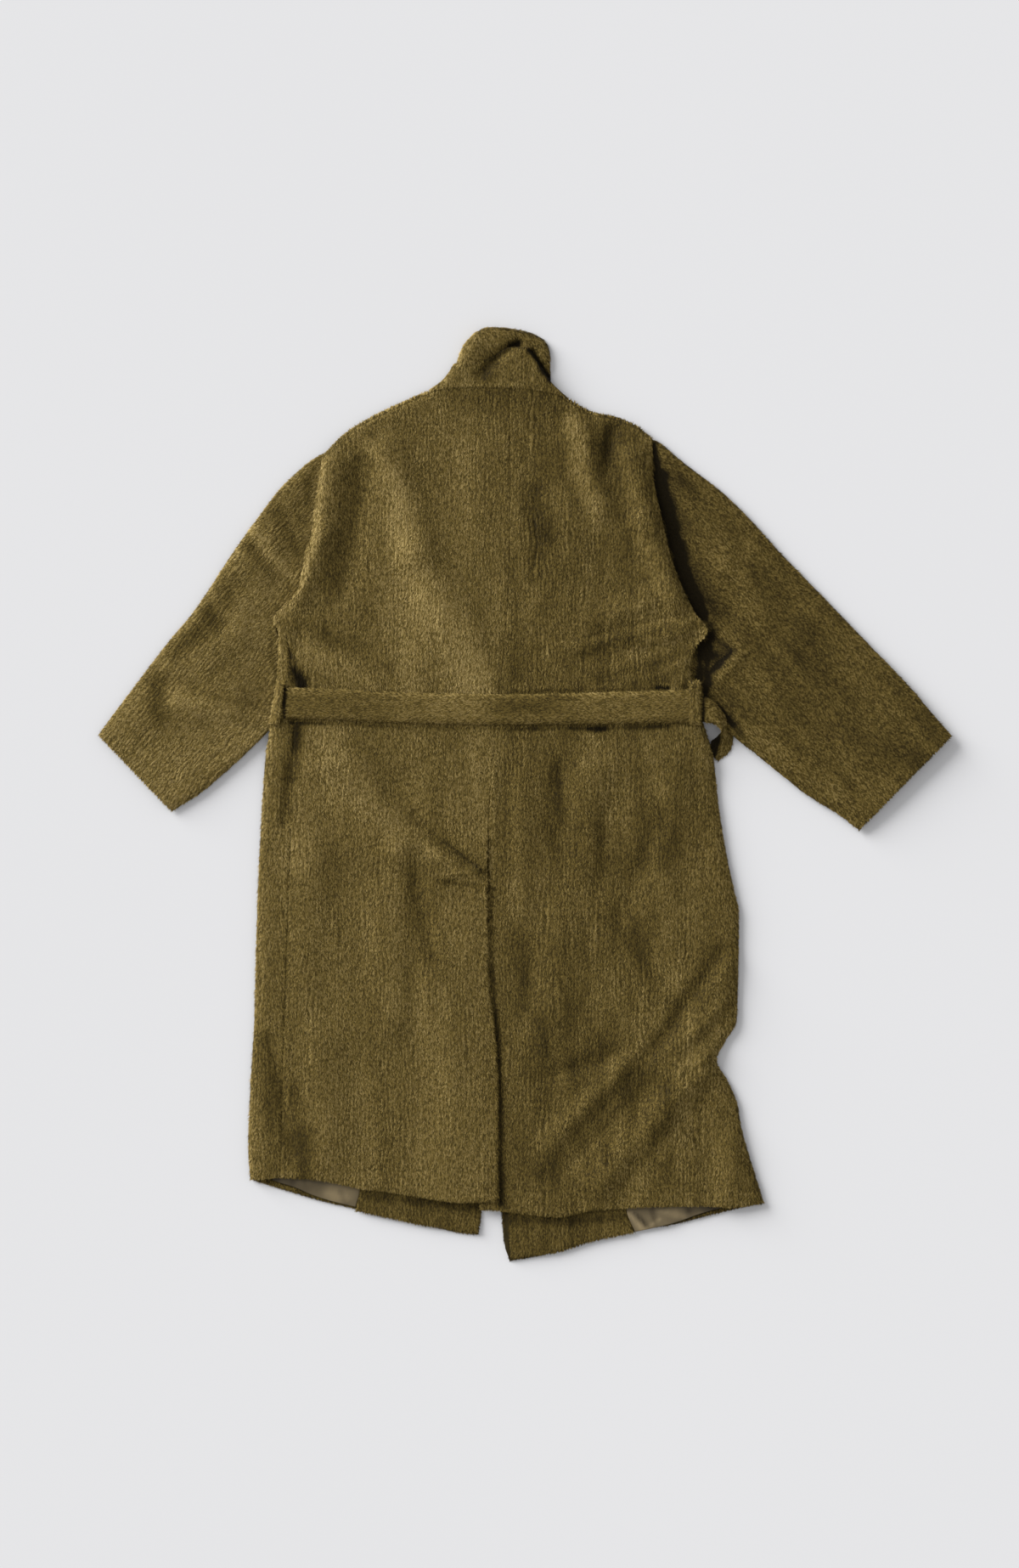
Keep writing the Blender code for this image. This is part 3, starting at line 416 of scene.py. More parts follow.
# Painted light and shade, partly the nap's own tone: lit ridges and rims, shaded troughs and cast shadows,
# each as a line in the same columns, with the shade it adds.
# The back: painted light on lit ridges and the left armhole's rim, painted shade in troughs, and painted
# shadows under the belt and beside the vent.
BACK_NAP_AND_PAINTED_SHADING = [
    (-232, 515, -200, 480, 16, 0.22),
    (-198, 478, -184, 420, 26, 0.43),
    (-184, 420, -172, 360, 36, 0.34),
    (-172, 360, -150, 290, 48, 0.31),
    (-150, 290, -112, 225, 64, 0.36),
    (-112, 225, -86, 165, 64, 0.38),
    (-190, 330, -165, 165, 48, 0.20),
    (-241, 492, -256, 420, 30, -0.26),
    (-256, 420, -284, 315, 36, -0.19),
    (-152, 480, -128, 330, 18, -0.10),
    (-92, 510, -82, 390, 28, 0.11),
    (-100, 586, 24, 574, 44, -0.18),
    (-20, 560, 10, 500, 40, -0.10),
    (-18, 350, -14, 175, 16, -0.13),
    (16, 450, 28, 388, 34, -0.24),
    (24, 396, 16, 320, 28, -0.12),
    (10, 530, 36, 470, 34, -0.12),
    (72, 548, 80, 478, 24, 0.32),
    (80, 478, 112, 400, 22, 0.24),
    (140, 550, 122, 518, 34, -0.22),
    (121, 518, 124, 455, 24, -0.26),
    (150, 510, 160, 440, 26, -0.06),
    (140, 420, 150, 320, 30, -0.07),
    (-296, 490, -302, 420, 9, 0.48),
    (-302, 420, -308, 385, 9, 0.48),
    (-308, 385, -317, 345, 9, 0.46),
    (-317, 345, -330, 300, 9, 0.44),
    (-330, 300, -366, 260, 10, 0.46),
    (-368, 252, -358, 238, 8, 0.34),
    (-357, 238, -356, 185, 8, 0.34),
    (-356, 185, -361, 165, 8, 0.34),
    (-345, 212, -340, 185, 15, -0.42),
    (-340, 185, -330, 162, 18, -0.60),
    (-334, 258, -268, 226, 24, -0.16),
    (-268, 226, -200, 186, 24, -0.13),
    (-326, 218, -232, 168, 28, 0.17),
    (88, 206, 158, 238, 22, -0.18),
    (158, 238, 252, 251, 11, -0.13),
    (150, 208, 255, 238, 13, 0.15),
    (100, 170, 180, 190, 18, -0.18),
    (180, 190, 246, 216, 12, -0.16),
    (200, 182, 243, 203, 9, 0.11),
    (150, 162, 205, 172, 11, -0.16),
    (165, 275, 240, 262, 24, 0.12),
    (194, 159, 209, 158, 6, -0.50),
    (229, 161, 236, 160, 5, -0.25),
    (-345, 107, -296, 106, 6, -0.55),
    (-296, 106, -200, 101, 5, -0.22),
    (-200, 101, -23, 98, 5, -0.18),
    (-23, 98, 60, 99, 5, -0.26),
    (60, 99, 90, 99, 6, -0.36),
    (92, 98, 116, 98, 8, -0.56),
    (120, 99, 178, 100, 5, -0.26),
    (180, 101, 210, 102, 7, -0.42),
    (-23, 153, 120, 156, 4, -0.18),
    (120, 156, 190, 158, 4, -0.20),
    (-334, 104, -337, 70, 20, -0.52),
    (-337, 70, -342, 25, 18, -0.38),
    (-342, 25, -350, -40, 15, -0.22),
    (-371, 95, -385, -60, 8, 0.16),
    (-318, 92, -342, -20, 12, 0.20),
    (-300, 84, -262, 12, 48, 0.26),
    (-262, 12, -176, -62, 34, 0.27),
    (-322, 60, -335, -90, 34, 0.18),
    (-176, -62, -108, -98, 14, 0.16),
    (-246, 84, -158, -38, 20, -0.09),
    (-158, -38, -62, -112, 19, -0.20),
    (-120, -66, -62, -112, 8, -0.36),
    (-128, -124, -70, -132, 9, -0.20),
    (-116, -112, -72, -121, 7, 0.10),
    (-160, -112, -152, -180, 33, -0.24),
    (-152, -180, -128, -255, 30, -0.17),
    (-196, -120, -190, -310, 24, 0.10),
    (-104, -150, -92, -270, 24, 0.10),
    (-120, 40, -90, -50, 30, 0.07),
    (-80, 70, -62, -60, 20, 0.18),
    (-286, -90, -276, -190, 30, -0.10),
    (-232, -310, -216, -450, 30, -0.11),
    (-330, -200, -318, -330, 30, 0.06),
    (58, 92, 45, 20, 24, -0.18),
    (45, 20, 40, -80, 26, -0.13),
    (14, 24, 20, -6, 18, 0.14),
    (100, 80, 122, -30, 36, 0.17),
    (101, -46, 106, -112, 38, -0.08),
    (199, -22, 204, -92, 32, -0.15),
    (45, -80, 160, -92, 38, -0.10),
    (138, -95, 135, -200, 34, -0.15),
    (152, -200, 190, -300, 34, -0.17),
    (205, -120, 226, -260, 34, 0.13),
    (250, -110, 244, -230, 34, 0.10),
    (-22, -135, -12, -170, 24, 0.12),
    (-6, -215, 0, -312, 32, -0.15),
    (24, -330, 28, -418, 38, -0.18),
    (36, -402, 132, -364, 38, -0.15),
    (50, -220, 70, -400, 84, -0.06),
    (286, -226, 232, -308, 30, -0.16),
    (232, -308, 202, -368, 30, -0.18),
    (202, -368, 140, -434, 29, -0.17),
    (140, -434, 66, -516, 29, -0.14),
    (66, -516, 24, -560, 26, -0.13),
    (250, -326, 236, -398, 24, 0.14),
    (214, -414, 132, -520, 22, -0.12),
    (248, -430, 200, -522, 17, 0.14),
    (-46, 80, -48, -110, 15, 0.14),
    (262, 60, 268, 0, 20, 0.12),
    (208, -392, 194, -500, 28, -0.08),
    (150, -490, 92, -575, 18, -0.12),
    (-51, -140, -51, -250, 9, -0.20),
    (-51, -250, -43, -326, 7, -0.36),
    (-43, -326, -36, -431, 8, -0.36),
    (-36, -431, -36, -600, 8, -0.32),
    (-334, -500, -326, -562, 28, -0.33),
    (-344, -430, -336, -505, 18, -0.22),
    (-380, -360, -365, -540, 34, -0.22),
    (-346, -60, -350, -200, 5, -0.14),
    (-350, -200, -357, -400, 5, -0.15),
    (-357, -400, -361, -560, 5, -0.16),
    (-290, -470, -288, -560, 26, 0.07),
    (-205, -470, -200, -570, 26, -0.08),
    (-150, -300, -110, -420, 40, 0.06),
    (318, -430, 350, -600, 18, -0.16),
    (240, -480, 280, -590, 60, 0.07),
]
# The sleeves: painted shade beside the left armhole's rim, a painted shadow cast by the back's right armhole
# edge, painted shade in the hollow under the right arm and beside the bow, and painted light and shade on
# the creases.
SLEEVE_NAP_AND_PAINTED_SHADING = [
    (-316, 460, -322, 400, 10, -0.22),
    (-332, 352, -346, 305, 10, -0.18),
    (-350, 300, -380, 262, 9, -0.14),
    (-332, 428, -326, 395, 14, -0.18),
    (-362, 414, -334, 358, 22, -0.28),
    (-398, 388, -342, 322, 13, 0.46),
    (-404, 372, -378, 326, 13, -0.20),
    (-440, 302, -432, 282, 22, -0.24),
    (-467, 270, -458, 254, 22, -0.32),
    (-512, 212, -478, 238, 24, -0.26),
    (-545, 168, -540, 122, 26, -0.34),
    (-530, 190, -516, 178, 9, 0.08),
    (-412, 272, -400, 235, 32, 0.20),
    (-516, 146, -440, 112, 18, 0.20),
    (-496, 156, -390, 131, 9, -0.14),
    (-376, 240, -368, 185, 9, -0.20),
    (-440, 52, -392, 88, 16, 0.22),
    (-572, 92, -568, 78, 16, -0.14),
    (188, 516, 195, 470, 9, -0.46),
    (195, 470, 204, 430, 18, -0.52),
    (204, 430, 212, 395, 24, -0.46),
    (212, 395, 226, 350, 24, -0.46),
    (226, 350, 243, 300, 21, -0.46),
    (243, 300, 262, 264, 19, -0.50),
    (262, 264, 277, 242, 16, -0.46),
    (205, 440, 240, 330, 50, -0.15),
    (240, 330, 275, 262, 44, -0.20),
    (275, 242, 264, 206, 21, -0.54),
    (256, 216, 255, 174, 15, -0.42),
    (264, 198, 268, 165, 14, -0.40),
    (264, 165, 264, 140, 10, -0.42),
    (274, 232, 298, 214, 19, -0.33),
    (266, 208, 288, 206, 24, -0.34),
    (303, 212, 270, 180, 10, -0.46),
    (265, 143, 288, 124, 9, -0.42),
    (288, 124, 304, 104, 9, -0.36),
    (304, 104, 318, 86, 8, -0.24),
    (316, 208, 284, 176, 11, 0.12),
    (330, 90, 450, 5, 26, 0.10),
    (296, 405, 300, 385, 20, -0.06),
    (340, 325, 370, 305, 26, -0.08),
    (400, 205, 480, 140, 40, -0.08),
    (470, 90, 560, 50, 50, -0.14),
    (590, 110, 610, 90, 30, -0.10),
    (255, 430, 330, 270, 40, 0.05),
]
# Painted shadow that the back's hem casts on the facings.
FACING_PAINTED_SHADOW = [
    (-245, -587, -70, -606, 12, -0.18),
    (-36, -622, 60, -626, 12, -0.18),
    (60, -626, 150, -616, 12, -0.18),
]
# Painted shade darkening the lining's left end, and painted light and shade on its wrinkles.
LINING_PAINTED_SHADING = [
    (-400, -560, -340, -570, 34, -0.42),
    (-340, -570, -306, -580, 24, -0.24),
    (-292, -587, -262, -594, 11, 0.24),
    (-272, -584, -264, -602, 6, -0.20),
    (152, -617, 175, -641, 7, 0.60),
    (175, -641, 198, -624, 6, 0.44),
    (161, -615, 181, -636, 6, -0.36),
    (200, -612, 232, -620, 9, 0.34),
    (186, -612, 192, -632, 7, -0.32),
    (240, -612, 300, -604, 10, -0.30),
]
# The collar: painted shade in its trough, a painted shadow in its slit, painted shade on its top rim, and
# painted light on its left rim and along its seam.
COLLAR_PAINTED_SHADING = [
    (-62, 617, -51, 640, 21, -0.36),
    (-51, 640, -24, 660, 16, -0.36),
    (-24, 662, -11, 664, 10, -0.55),
    (-96, 650, -74, 674, 18, 0.16),
    (-99, 634, -90, 654, 8, 0.24),
    (-66, 684, -20, 687, 8, -0.20),
    (-20, 687, 22, 673, 8, -0.26),
    (22, 673, 37, 655, 7, -0.22),
    (5, 653, 36, 611, 8, -0.70),
    (28, 665, 34, 640, 14, -0.12),
    (-124, 602, -10, 603, 5, 0.14),
]
# The belt: its tone along its length, painted shadows along its edges, beside the loops and inside the bow,
# and painted light on the left loop.
BELT_TONE_AND_PAINTED_SHADING = [
    (-340, 130, -210, 128, 30, -0.15),
    (-330, 152, -40, 148, 4, -0.14),
    (-120, 126, -70, 125, 36, 0.08),
    (-40, 124, 30, 124, 28, -0.10),
    (100, 128, 200, 129, 40, 0.08),
    (-352, 106, -351, 162, 5, -0.70),
    (-366, 162, -374, 108, 8, 0.34),
    (280, 87, 274, 62, 12, -2.00),
    (-23, 149, 120, 152, 4, -0.16),
    (120, 152, 190, 155, 4, -0.18),
    (193, 155, 211, 155, 5, -0.60),
    (230, 152, 238, 146, 5, -0.30),
    (260, 165, 259, 108, 4, -0.45),
]

# The common shade, the map's share for a shade of 1, its limits, and how ragged and soft a line's edge is.
SHADE_BASE = 0.5
SHADE_SHARE = 0.7
SHADE_LIMITS = (0.01, 0.99)
RAGGED_SHARE = 0.26
SOFT_RUN = (-0.15, 1.1)

# Tones of the two sides, partly the nap's tone and partly painted shade that darkens the right side, turned
# from the light; the columns between them with their spread over the rows, and the mottled columns.
TONE_LEFT = 0.002
RIGHT_SIDE_SHADE_AND_TONE = -0.090
TONE_COLUMNS = (-64.0, -26.0)
TONE_SPREAD = (-50.0, 110.0)
TONE_ROWS = (90.0, 340.0)
MOTTLE_COLUMNS = (-50.0, 30.0, 200.0, 340.0)


def eased(share):
    """Ease a share in and out between 0 and 1."""
    return share * share * (3.0 - 2.0 * share)


def smooth(low, high, value):
    """Rise softly from 0 at low to 1 at high."""
    return eased(np.clip((value - low) / (high - low), 0.0, 1.0))


def plateau(limits, value):
    """Rise from 0 to 1 over the first two limits and fall back over the last two."""
    return smooth(limits[0], limits[1], value) * (1.0 - smooth(limits[2], limits[3], value))


def rounded(distance, width):
    """Give the quarter-round share of a sheet's height at a distance from its edge."""
    share = np.clip(1.0 - distance / width, 0.0, 1.0)
    return np.sqrt(1.0 - share * share)


def turned_down(level, low, distance, weight=1.0, width=EDGE_ROUND):
    """Turn a sheet down to a low level at its edge."""
    share = 1.0 - weight * (1.0 - rounded(distance, width))
    return low + (level - low) * share


def from_line(x, y, x0, y0, x1, y1):
    """Give the distance from points to a straight line between two ends."""
    run = (x1 - x0) ** 2 + (y1 - y0) ** 2
    share = np.clip(((x - x0) * (x1 - x0) + (y - y0) * (y1 - y0)) / run, 0.0, 1.0)
    return np.hypot(x - x0 - share * (x1 - x0), y - y0 - share * (y1 - y0))


def from_chain(x, y, chain):
    """Give the distance from points to a chain of straight lines."""
    return np.min([from_line(x, y, *start, *end) for start, end in zip(chain, chain[1:])], axis=0)


def lines_sum(x, y, table):
    """Add up a table of soft lines, each fading out at its half width."""
    total = np.zeros_like(x)
    for x0, y0, x1, y1, half_width, height in table:
        total += height * (1.0 - smooth(0.0, half_width, from_line(x, y, x0, y0, x1, y1)))
    return total


def wander(x, y, size, seed):
    """Give even noise from -1 to 1 that changes over a size in millimetres."""
    lattice = np.random.default_rng(seed).uniform(-1.0, 1.0, (LATTICE, LATTICE))
    column, row = x / size, y / size
    left, low = np.floor(column).astype(int), np.floor(row).astype(int)
    across, up = eased(column - left), eased(row - low)
    corner = [lattice[(low + step_y) % LATTICE, (left + step_x) % LATTICE]
              for step_y in (0, 1) for step_x in (0, 1)]
    bottom = corner[0] + (corner[1] - corner[0]) * across
    return bottom + (corner[2] + (corner[3] - corner[2]) * across - bottom) * up


def waves(x, y, table, seed=0):
    """Add up a table of noises."""
    return sum(amount * wander(x, factor * y, size, seed + own) for amount, factor, size, own in table)


def edge_shares(edge):
    """Give each point's share of the way along its edge, on the edge's longer axis."""
    points = np.array(edge, dtype=float)
    axis = int(np.argmax(np.abs(points[-1] - points[0])))
    return (points[:, axis] - points[0, axis]) / (points[-1, axis] - points[0, axis])


def edge_at(edge, shares):
    """Give plan points on a curve through an edge's points that never swings past them."""
    points = np.array(edge, dtype=float)
    own = edge_shares(edge)
    step = np.diff(own)[:, None]
    rise = np.diff(points, axis=0) / step
    slope = np.vstack([rise, rise[-1:]])
    same = rise[:-1] * rise[1:] > 0.0
    pair = rise[:-1] + rise[1:]
    slope[1:-1] = np.where(same, 2.0 * rise[:-1] * rise[1:] / np.where(same, pair, 1.0), 0.0)
    place = np.clip(np.searchsorted(own, shares, side="right") - 1, 0, len(own) - 2)
    width = step[place]
    part = ((shares - own[place]) / width[:, 0])[:, None]
    rest = 1.0 - part
    start = (1.0 + 2.0 * part) * rest ** 2 * points[place] + part * rest ** 2 * width * slope[place]
    end = eased(part) * points[place + 1] - part * part * rest * width * slope[place + 1]
    return start + end


def edge_x(edge, y):
    """Give x on an upright edge at height y on the plan."""
    rows = np.clip(y, edge[0][1], edge[-1][1]).ravel()
    fine = edge_at(edge, np.linspace(0.0, 1.0, EDGE_STEPS))
    return np.interp(rows, fine[:, 1], fine[:, 0]).reshape(y.shape)


def line_y(x, line):
    """Give y on a line of points, from left to right, at x on the plan."""
    return np.interp(x, [point[0] for point in line], [point[1] for point in line])


def shift(edge, dx, dy=0.0):
    """Move a cut edge sideways and along."""
    return [(x + dx, y + dy) for x, y in edge]


class Plan:
    """Plan points of a sheet between four cut edges, drawn in by an inset, with distances from its edges."""

    def __init__(self, left, right, bottom, top, spacing, rim=RIM, inset=(0.0, 0.0, 0.0, 0.0)):
        bottom = [left[0], *bottom, right[0]]
        top = [left[-1], *top, right[-1]]
        low_left, low_right = np.array(left[0], dtype=float), np.array(right[0], dtype=float)
        high_left, high_right = np.array(left[-1], dtype=float), np.array(right[-1], dtype=float)
        width = max(np.hypot(*(low_right - low_left)), np.hypot(*(high_right - high_left)))
        length = max(np.hypot(*(high_left - low_left)), np.hypot(*(high_right - low_right)))
        column = self.stations(width, spacing, rim)
        row = self.stations(length, spacing, rim)
        across = (inset[0] + column * (width - inset[0] - inset[1])) / width
        along = (inset[2] + row * (length - inset[2] - inset[3])) / length
        over, up = across[None, :, None], along[:, None, None]
        low, high = edge_at(bottom, across)[None], edge_at(top, across)[None]
        spot = ((1 - up) * low + up * high + (1 - over) * edge_at(left, along)[:, None]
                + over * edge_at(right, along)[:, None] - (1 - over) * (1 - up) * low_left
                - over * (1 - up) * low_right - (1 - over) * up * high_left - over * up * high_right)
        self.x, self.y = spot[..., 0], spot[..., 1]
        wide = np.linalg.norm(spot[:, -1] - spot[:, 0], axis=-1)[:, None]
        long = np.linalg.norm(spot[-1] - spot[0], axis=-1)[None, :]
        self.from_left, self.from_right = column[None] * wide, (1 - column)[None] * wide
        self.from_bottom, self.from_top = row[:, None] * long, (1 - row)[:, None] * long
        self.along, self.across = row[:, None] + 0 * self.x, column[None] + 0 * self.x
        self.flat = (float(wide.max()) * MM, float(long.max()) * MM)
        cells = np.cross(np.diff(spot, axis=1)[:-1], np.diff(spot, axis=0)[:, :-1])
        self.area = float(np.abs(cells).sum()) * MM * MM

    @staticmethod
    def stations(length, spacing, rim):
        """Give shares from 0 to 1, with closer steps over the rim at both ends."""
        count = max(3, int(round((length - 2 * rim) / spacing)) + 1)
        inner = np.linspace(rim, length - rim, count)
        return np.concatenate([[0.0, RIM_STEP * rim], inner, [length - RIM_STEP * rim, length]]) / length


def under_lift(x, y):
    """Give how far the hidden belt and buttons lift what lies on them."""
    stand = plateau(STAND_ROWS, y) * plateau(STAND_COLUMNS, x)
    return UNDER_LIFT * np.maximum(plateau(LIFT_ROWS, y), stand)


def on_plan(level):
    """Make a rest for a plan from a level at x and y."""
    return lambda plan: level(plan.x, plan.y)


def front_right_rest(plan):
    """Lay the right front on the floor, and on the left front where they lap."""
    from_edge = plan.x - edge_x(FRONT_EDGE_LEFT, plan.y)
    lap = smooth(*FRONT_LAP_START, plan.y) * (1.0 - smooth(*FRONT_LAP_RUN, from_edge))
    return under_lift(plan.x, plan.y) + FRONT_LAP * lap


def back_level(x, y):
    """Give the height of the back's underside with its folds, before its edges turn down."""
    calm = 1.0 - plateau(BELT_FLAT, y)
    from_vent = np.abs(x - edge_x(CENTRE_HEM + CENTRE_SEAM, y))
    by_vent = (1.0 - smooth(*VENT_CALM_RUN, from_vent)) * smooth(*VENT_CALM_ROWS, y)
    folds = np.clip(lines_sum(x, y, BACK_FOLDS), *FOLD_LIMITS) * (1.0 - VENT_CALM * by_vent)
    creases = np.clip(lines_sum(x, y, BACK_CREASES), *CREASE_LIMITS)
    return BACK_REST + under_lift(x, y) + calm * (folds + creases + waves(x, y, BACK_RIPPLE))


def side_left_level(x, y):
    """Give the height of the turned strip, brought down to the fold at the side."""
    away = np.maximum(x - edge_x(SIDE_LEFT, y) - sizes().edge_inset / MM, 0.0)
    low = ON_FRONT + under_lift(x, y) + STRIP_LIFT * plateau(STRIP_ROWS, y)
    return turned_down(back_level(x, y), low, away)


def back_left_rest(plan):
    """Lay the left back, turned down at the armhole and shoulder, lapped over at the vent."""
    level = back_level(plan.x, plan.y)
    from_centre = plan.x - edge_x(CENTRE_HEM + CENTRE_SEAM, plan.y)
    level = level + VENT_LAP * smooth(*VENT_RUN, from_centre) * (1.0 - smooth(*VENT_ROWS, plan.y))
    armhole = smooth(*ARMHOLE_LEFT_ROWS, plan.y)
    level = turned_down(level, SLEEVE_TUCK, plan.from_left, armhole, ARMHOLE_ROUND)
    low = ON_FRONT + (SLEEVE_TUCK - ON_FRONT) * (1.0 - smooth(*TUCK_LEFT_COLUMNS, plan.x))
    return turned_down(level, low, plan.from_top, 1.0 - smooth(*SHOULDER_LEFT_COLUMNS, plan.x))


def back_right_side(x, y):
    """Give the right back's height with its right edge turned down, less and more sharply at the armhole."""
    away = edge_x(SIDE_RIGHT + ARMHOLE_RIGHT, y) - x - sizes().edge_inset / MM
    armhole = smooth(*ARMHOLE_RIGHT_ROWS, y)
    ease = 1.0 - ARMHOLE_RIGHT_EASE * smooth(*TUCK_ROWS, y)
    low = ON_FRONT + under_lift(np.full_like(x, RIGHT_SIDE_X), y)
    low = low + (ARMHOLE_RIGHT_LOW - ON_FRONT) * armhole * ease
    width = EDGE_ROUND + (ARMHOLE_RIGHT_ROUND - EDGE_ROUND) * armhole
    return turned_down(back_level(x, y), low, np.maximum(away, 0.0), 1.0, width)


def back_right_rest(plan):
    """Lay the right back, turned down at its side, armhole and shoulder."""
    level = back_right_side(plan.x, plan.y)
    low = ON_FRONT + (SLEEVE_TUCK - ON_FRONT) * smooth(*TUCK_RIGHT_COLUMNS, plan.x)
    return turned_down(level, low, plan.from_top, smooth(*SHOULDER_RIGHT_COLUMNS, plan.x))


def sleeve_rest(plan):
    """Lay a sleeve's upper half on its under half, going down under the back at the armhole."""
    folds = np.clip(lines_sum(plan.x, plan.y, SLEEVE_FOLDS), *FOLD_LIMITS)
    creases = np.clip(lines_sum(plan.x, plan.y, SLEEVE_CREASES), *CREASE_LIMITS)
    level = SLEEVE_REST + folds + creases + waves(plan.x, plan.y, SLEEVE_RIPPLE)
    cuff = CUFF_RISE * smooth(*CUFF_COLUMNS, plan.x)
    level = turned_down(level + cuff, ON_FRONT + cuff, plan.from_left)
    level = turned_down(level, ON_FRONT + cuff, plan.from_right)
    if plan.x.mean() < 0.0:
        armhole = SIDE_LEFT[-5:] + ARMHOLE_LEFT
    else:
        armhole = SIDE_RIGHT[-4:] + ARMHOLE_RIGHT
    open_share = 1.0 - smooth(*TUCK_ROWS, plan.y)
    tucked = TUCK_RUN[0] * open_share
    free = TUCK_END + (TUCK_RUN[1] - TUCK_END) * open_share
    out = smooth(tucked, free, from_chain(plan.x, plan.y, armhole))
    return ON_FRONT + (level - ON_FRONT) * (out + (1.0 - out) * HEAD_LIFT * smooth(*HEAD_ROWS, plan.y))


def flat_rest(plan):
    """Lay a piece on the floor."""
    return np.zeros_like(plan.x)


def facing_rest(plan):
    """Lay a facing on the inside of a front."""
    return np.full_like(plan.x, ON_FRONT)


def lining_rest(plan):
    """Lay a lining on the inside of a front, with loose ripples."""
    loose = LINING_LOOSE * (0.5 + waves(plan.x, plan.y, LINING_WAVES))
    slack = smooth(0.0, LINING_SLACK, np.minimum(plan.from_left, plan.from_right))
    return ON_FRONT + slack * (loose + waves(plan.x, plan.y, LINING_RIPPLE))


def collar_front_rest(plan):
    """Roll the far layer of the collar up behind the near fold, low where a trough divides them."""
    rim = np.minimum(np.minimum(plan.from_left, plan.from_right), plan.from_top)
    fold = [COLLAR_BACK_LEFT[-1]] + COLLAR_BACK_TOP + COLLAR_BACK_RIGHT[::-1]
    shown = smooth(*FAR_SHOWN, plan.y - line_y(plan.x, fold))
    peak = FAR_PEAK - FAR_FALL * smooth(*FAR_FALL_COLUMNS, plan.x)
    level = peak * shown * rounded(rim, FAR_ROUND) * (1.0 - FAR_SAG * smooth(*FAR_SAG_RUN, rim))
    return np.maximum(level + shown * lines_sum(plan.x, plan.y, COLLAR_CREASES), 0.0)


def collar_back_rest(plan):
    """Raise the near fold of the collar from the neck to its tip, with a trough along its upper left."""
    level = BACK_REST + NEAR_LIFT + NEAR_RISE * plan.along * smooth(*NEAR_RISE_COLUMNS, plan.x)
    level = level + NEAR_TIP * smooth(*NEAR_TIP_SHARES, plan.across)
    level = level + lines_sum(plan.x, plan.y, COLLAR_CREASES[:2])
    return turned_down(level, ON_FRONT, plan.from_left)


def belt_level(x, y):
    """Give the level of the belt over the back, and round the fold at the left side."""
    level = BELT_REST + waves(x, y, BELT_RIPPLE)
    away = np.maximum(x - edge_x(BELT_LEFT, y) - sizes().edge_inset / MM, 0.0)
    return turned_down(level, ON_FRONT, away, width=BELT_ROUND)


def belt_side_rest(plan):
    """Lean the bow of the belt outwards beside the coat."""
    outer = BOW_OUTER * (1.0 - smooth(*BOW_OUTER_FALL, plan.along))
    inner = BOW_INNER - BOW_INNER_DROP * smooth(*BOW_INNER_FALL, plan.along)
    return outer + (inner - outer) * plan.across


def loop_rest(plan):
    """Carry a loop over the belt and down to the back at both ends."""
    sides = np.where(plan.x < 0.0, side_left_level(plan.x, plan.y), back_right_side(plan.x, plan.y))
    ends = sides + LOOP_ON_BACK
    over_belt = belt_level(plan.x, plan.y) + LOOP_OVER_BELT - BELT_REST
    return ends + (over_belt - ends) * plateau(LOOP_ROWS, plan.y)


def shade_at(x, y, breadth, run, table):
    """Give the shade of the pile at a place, with its breadth and run across and along the nap.

    It sums the strongest lines of painted light and shade, slow streaks, a right-side mottle and the side's
    tone.
    """
    light, dark = np.zeros_like(x), np.zeros_like(x)
    ragged = waves(breadth, run, SHADE_RAGGED)
    for x0, y0, x1, y1, half_width, amount in table:
        away = from_line(x, y, x0, y0, x1, y1) + RAGGED_SHARE * half_width * ragged
        part = amount * (1.0 - smooth(SOFT_RUN[0] * half_width, SOFT_RUN[1] * half_width, away))
        light, dark = np.maximum(light, part), np.minimum(dark, part)
    spread = smooth(*TONE_ROWS, y)
    start, end = (column + wider * spread for column, wider in zip(TONE_COLUMNS, TONE_SPREAD))
    side = TONE_LEFT + (RIGHT_SIDE_SHADE_AND_TONE - TONE_LEFT) * smooth(start, end, x)
    mottle = waves(breadth, run, SHADE_MOTTLE) * plateau(MOTTLE_COLUMNS, x)
    return light + dark + waves(breadth, run, SHADE_DRIFT) + mottle + side


class CoatSizes(bpy.types.PropertyGroup):
    """Sizes of the cloth and its pile."""

    cloth: FloatProperty(name="Cloth", description="Thickness of the cloth under its pile",
                         default=0.0014, min=0.0005, unit="LENGTH")
    lining: FloatProperty(name="Lining", description="Thickness of the lining",
                          default=0.0006, min=0.0002, unit="LENGTH")
    belt: FloatProperty(name="Belt", description="Thickness of the folded belt at its middle",
                        default=0.0036, min=0.001, unit="LENGTH")
    edge_inset: FloatProperty(name="Edge inset", description="How far the cloth stays inside its pile",
                              default=0.0025, min=0.0, unit="LENGTH")
    pile_length: FloatProperty(name="Pile length", description="Length of a hair of the pile",
                               default=0.0038, min=0.001, unit="LENGTH")
    pile_width: FloatProperty(name="Hair width", description="Width of a hair at its root",
                              default=0.0015, min=0.0002, unit="LENGTH")
    pile_count: FloatProperty(name="Hairs", description="Hairs on a square centimetre of cloth",
                              default=71.0, min=1.0)
    lean: FloatProperty(name="Lean", description="Rise of the hairs over the cloth",
                        default=0.27, subtype="ANGLE", unit="ROTATION")
    sway: FloatProperty(name="Sway", description="How far locks of pile turn from the nap",
                        default=0.50, subtype="ANGLE", unit="ROTATION")
    rib: FloatProperty(name="Rib", description="Spacing of the faint ribs along the cloth",
                       default=0.0053, min=0.002, unit="LENGTH")


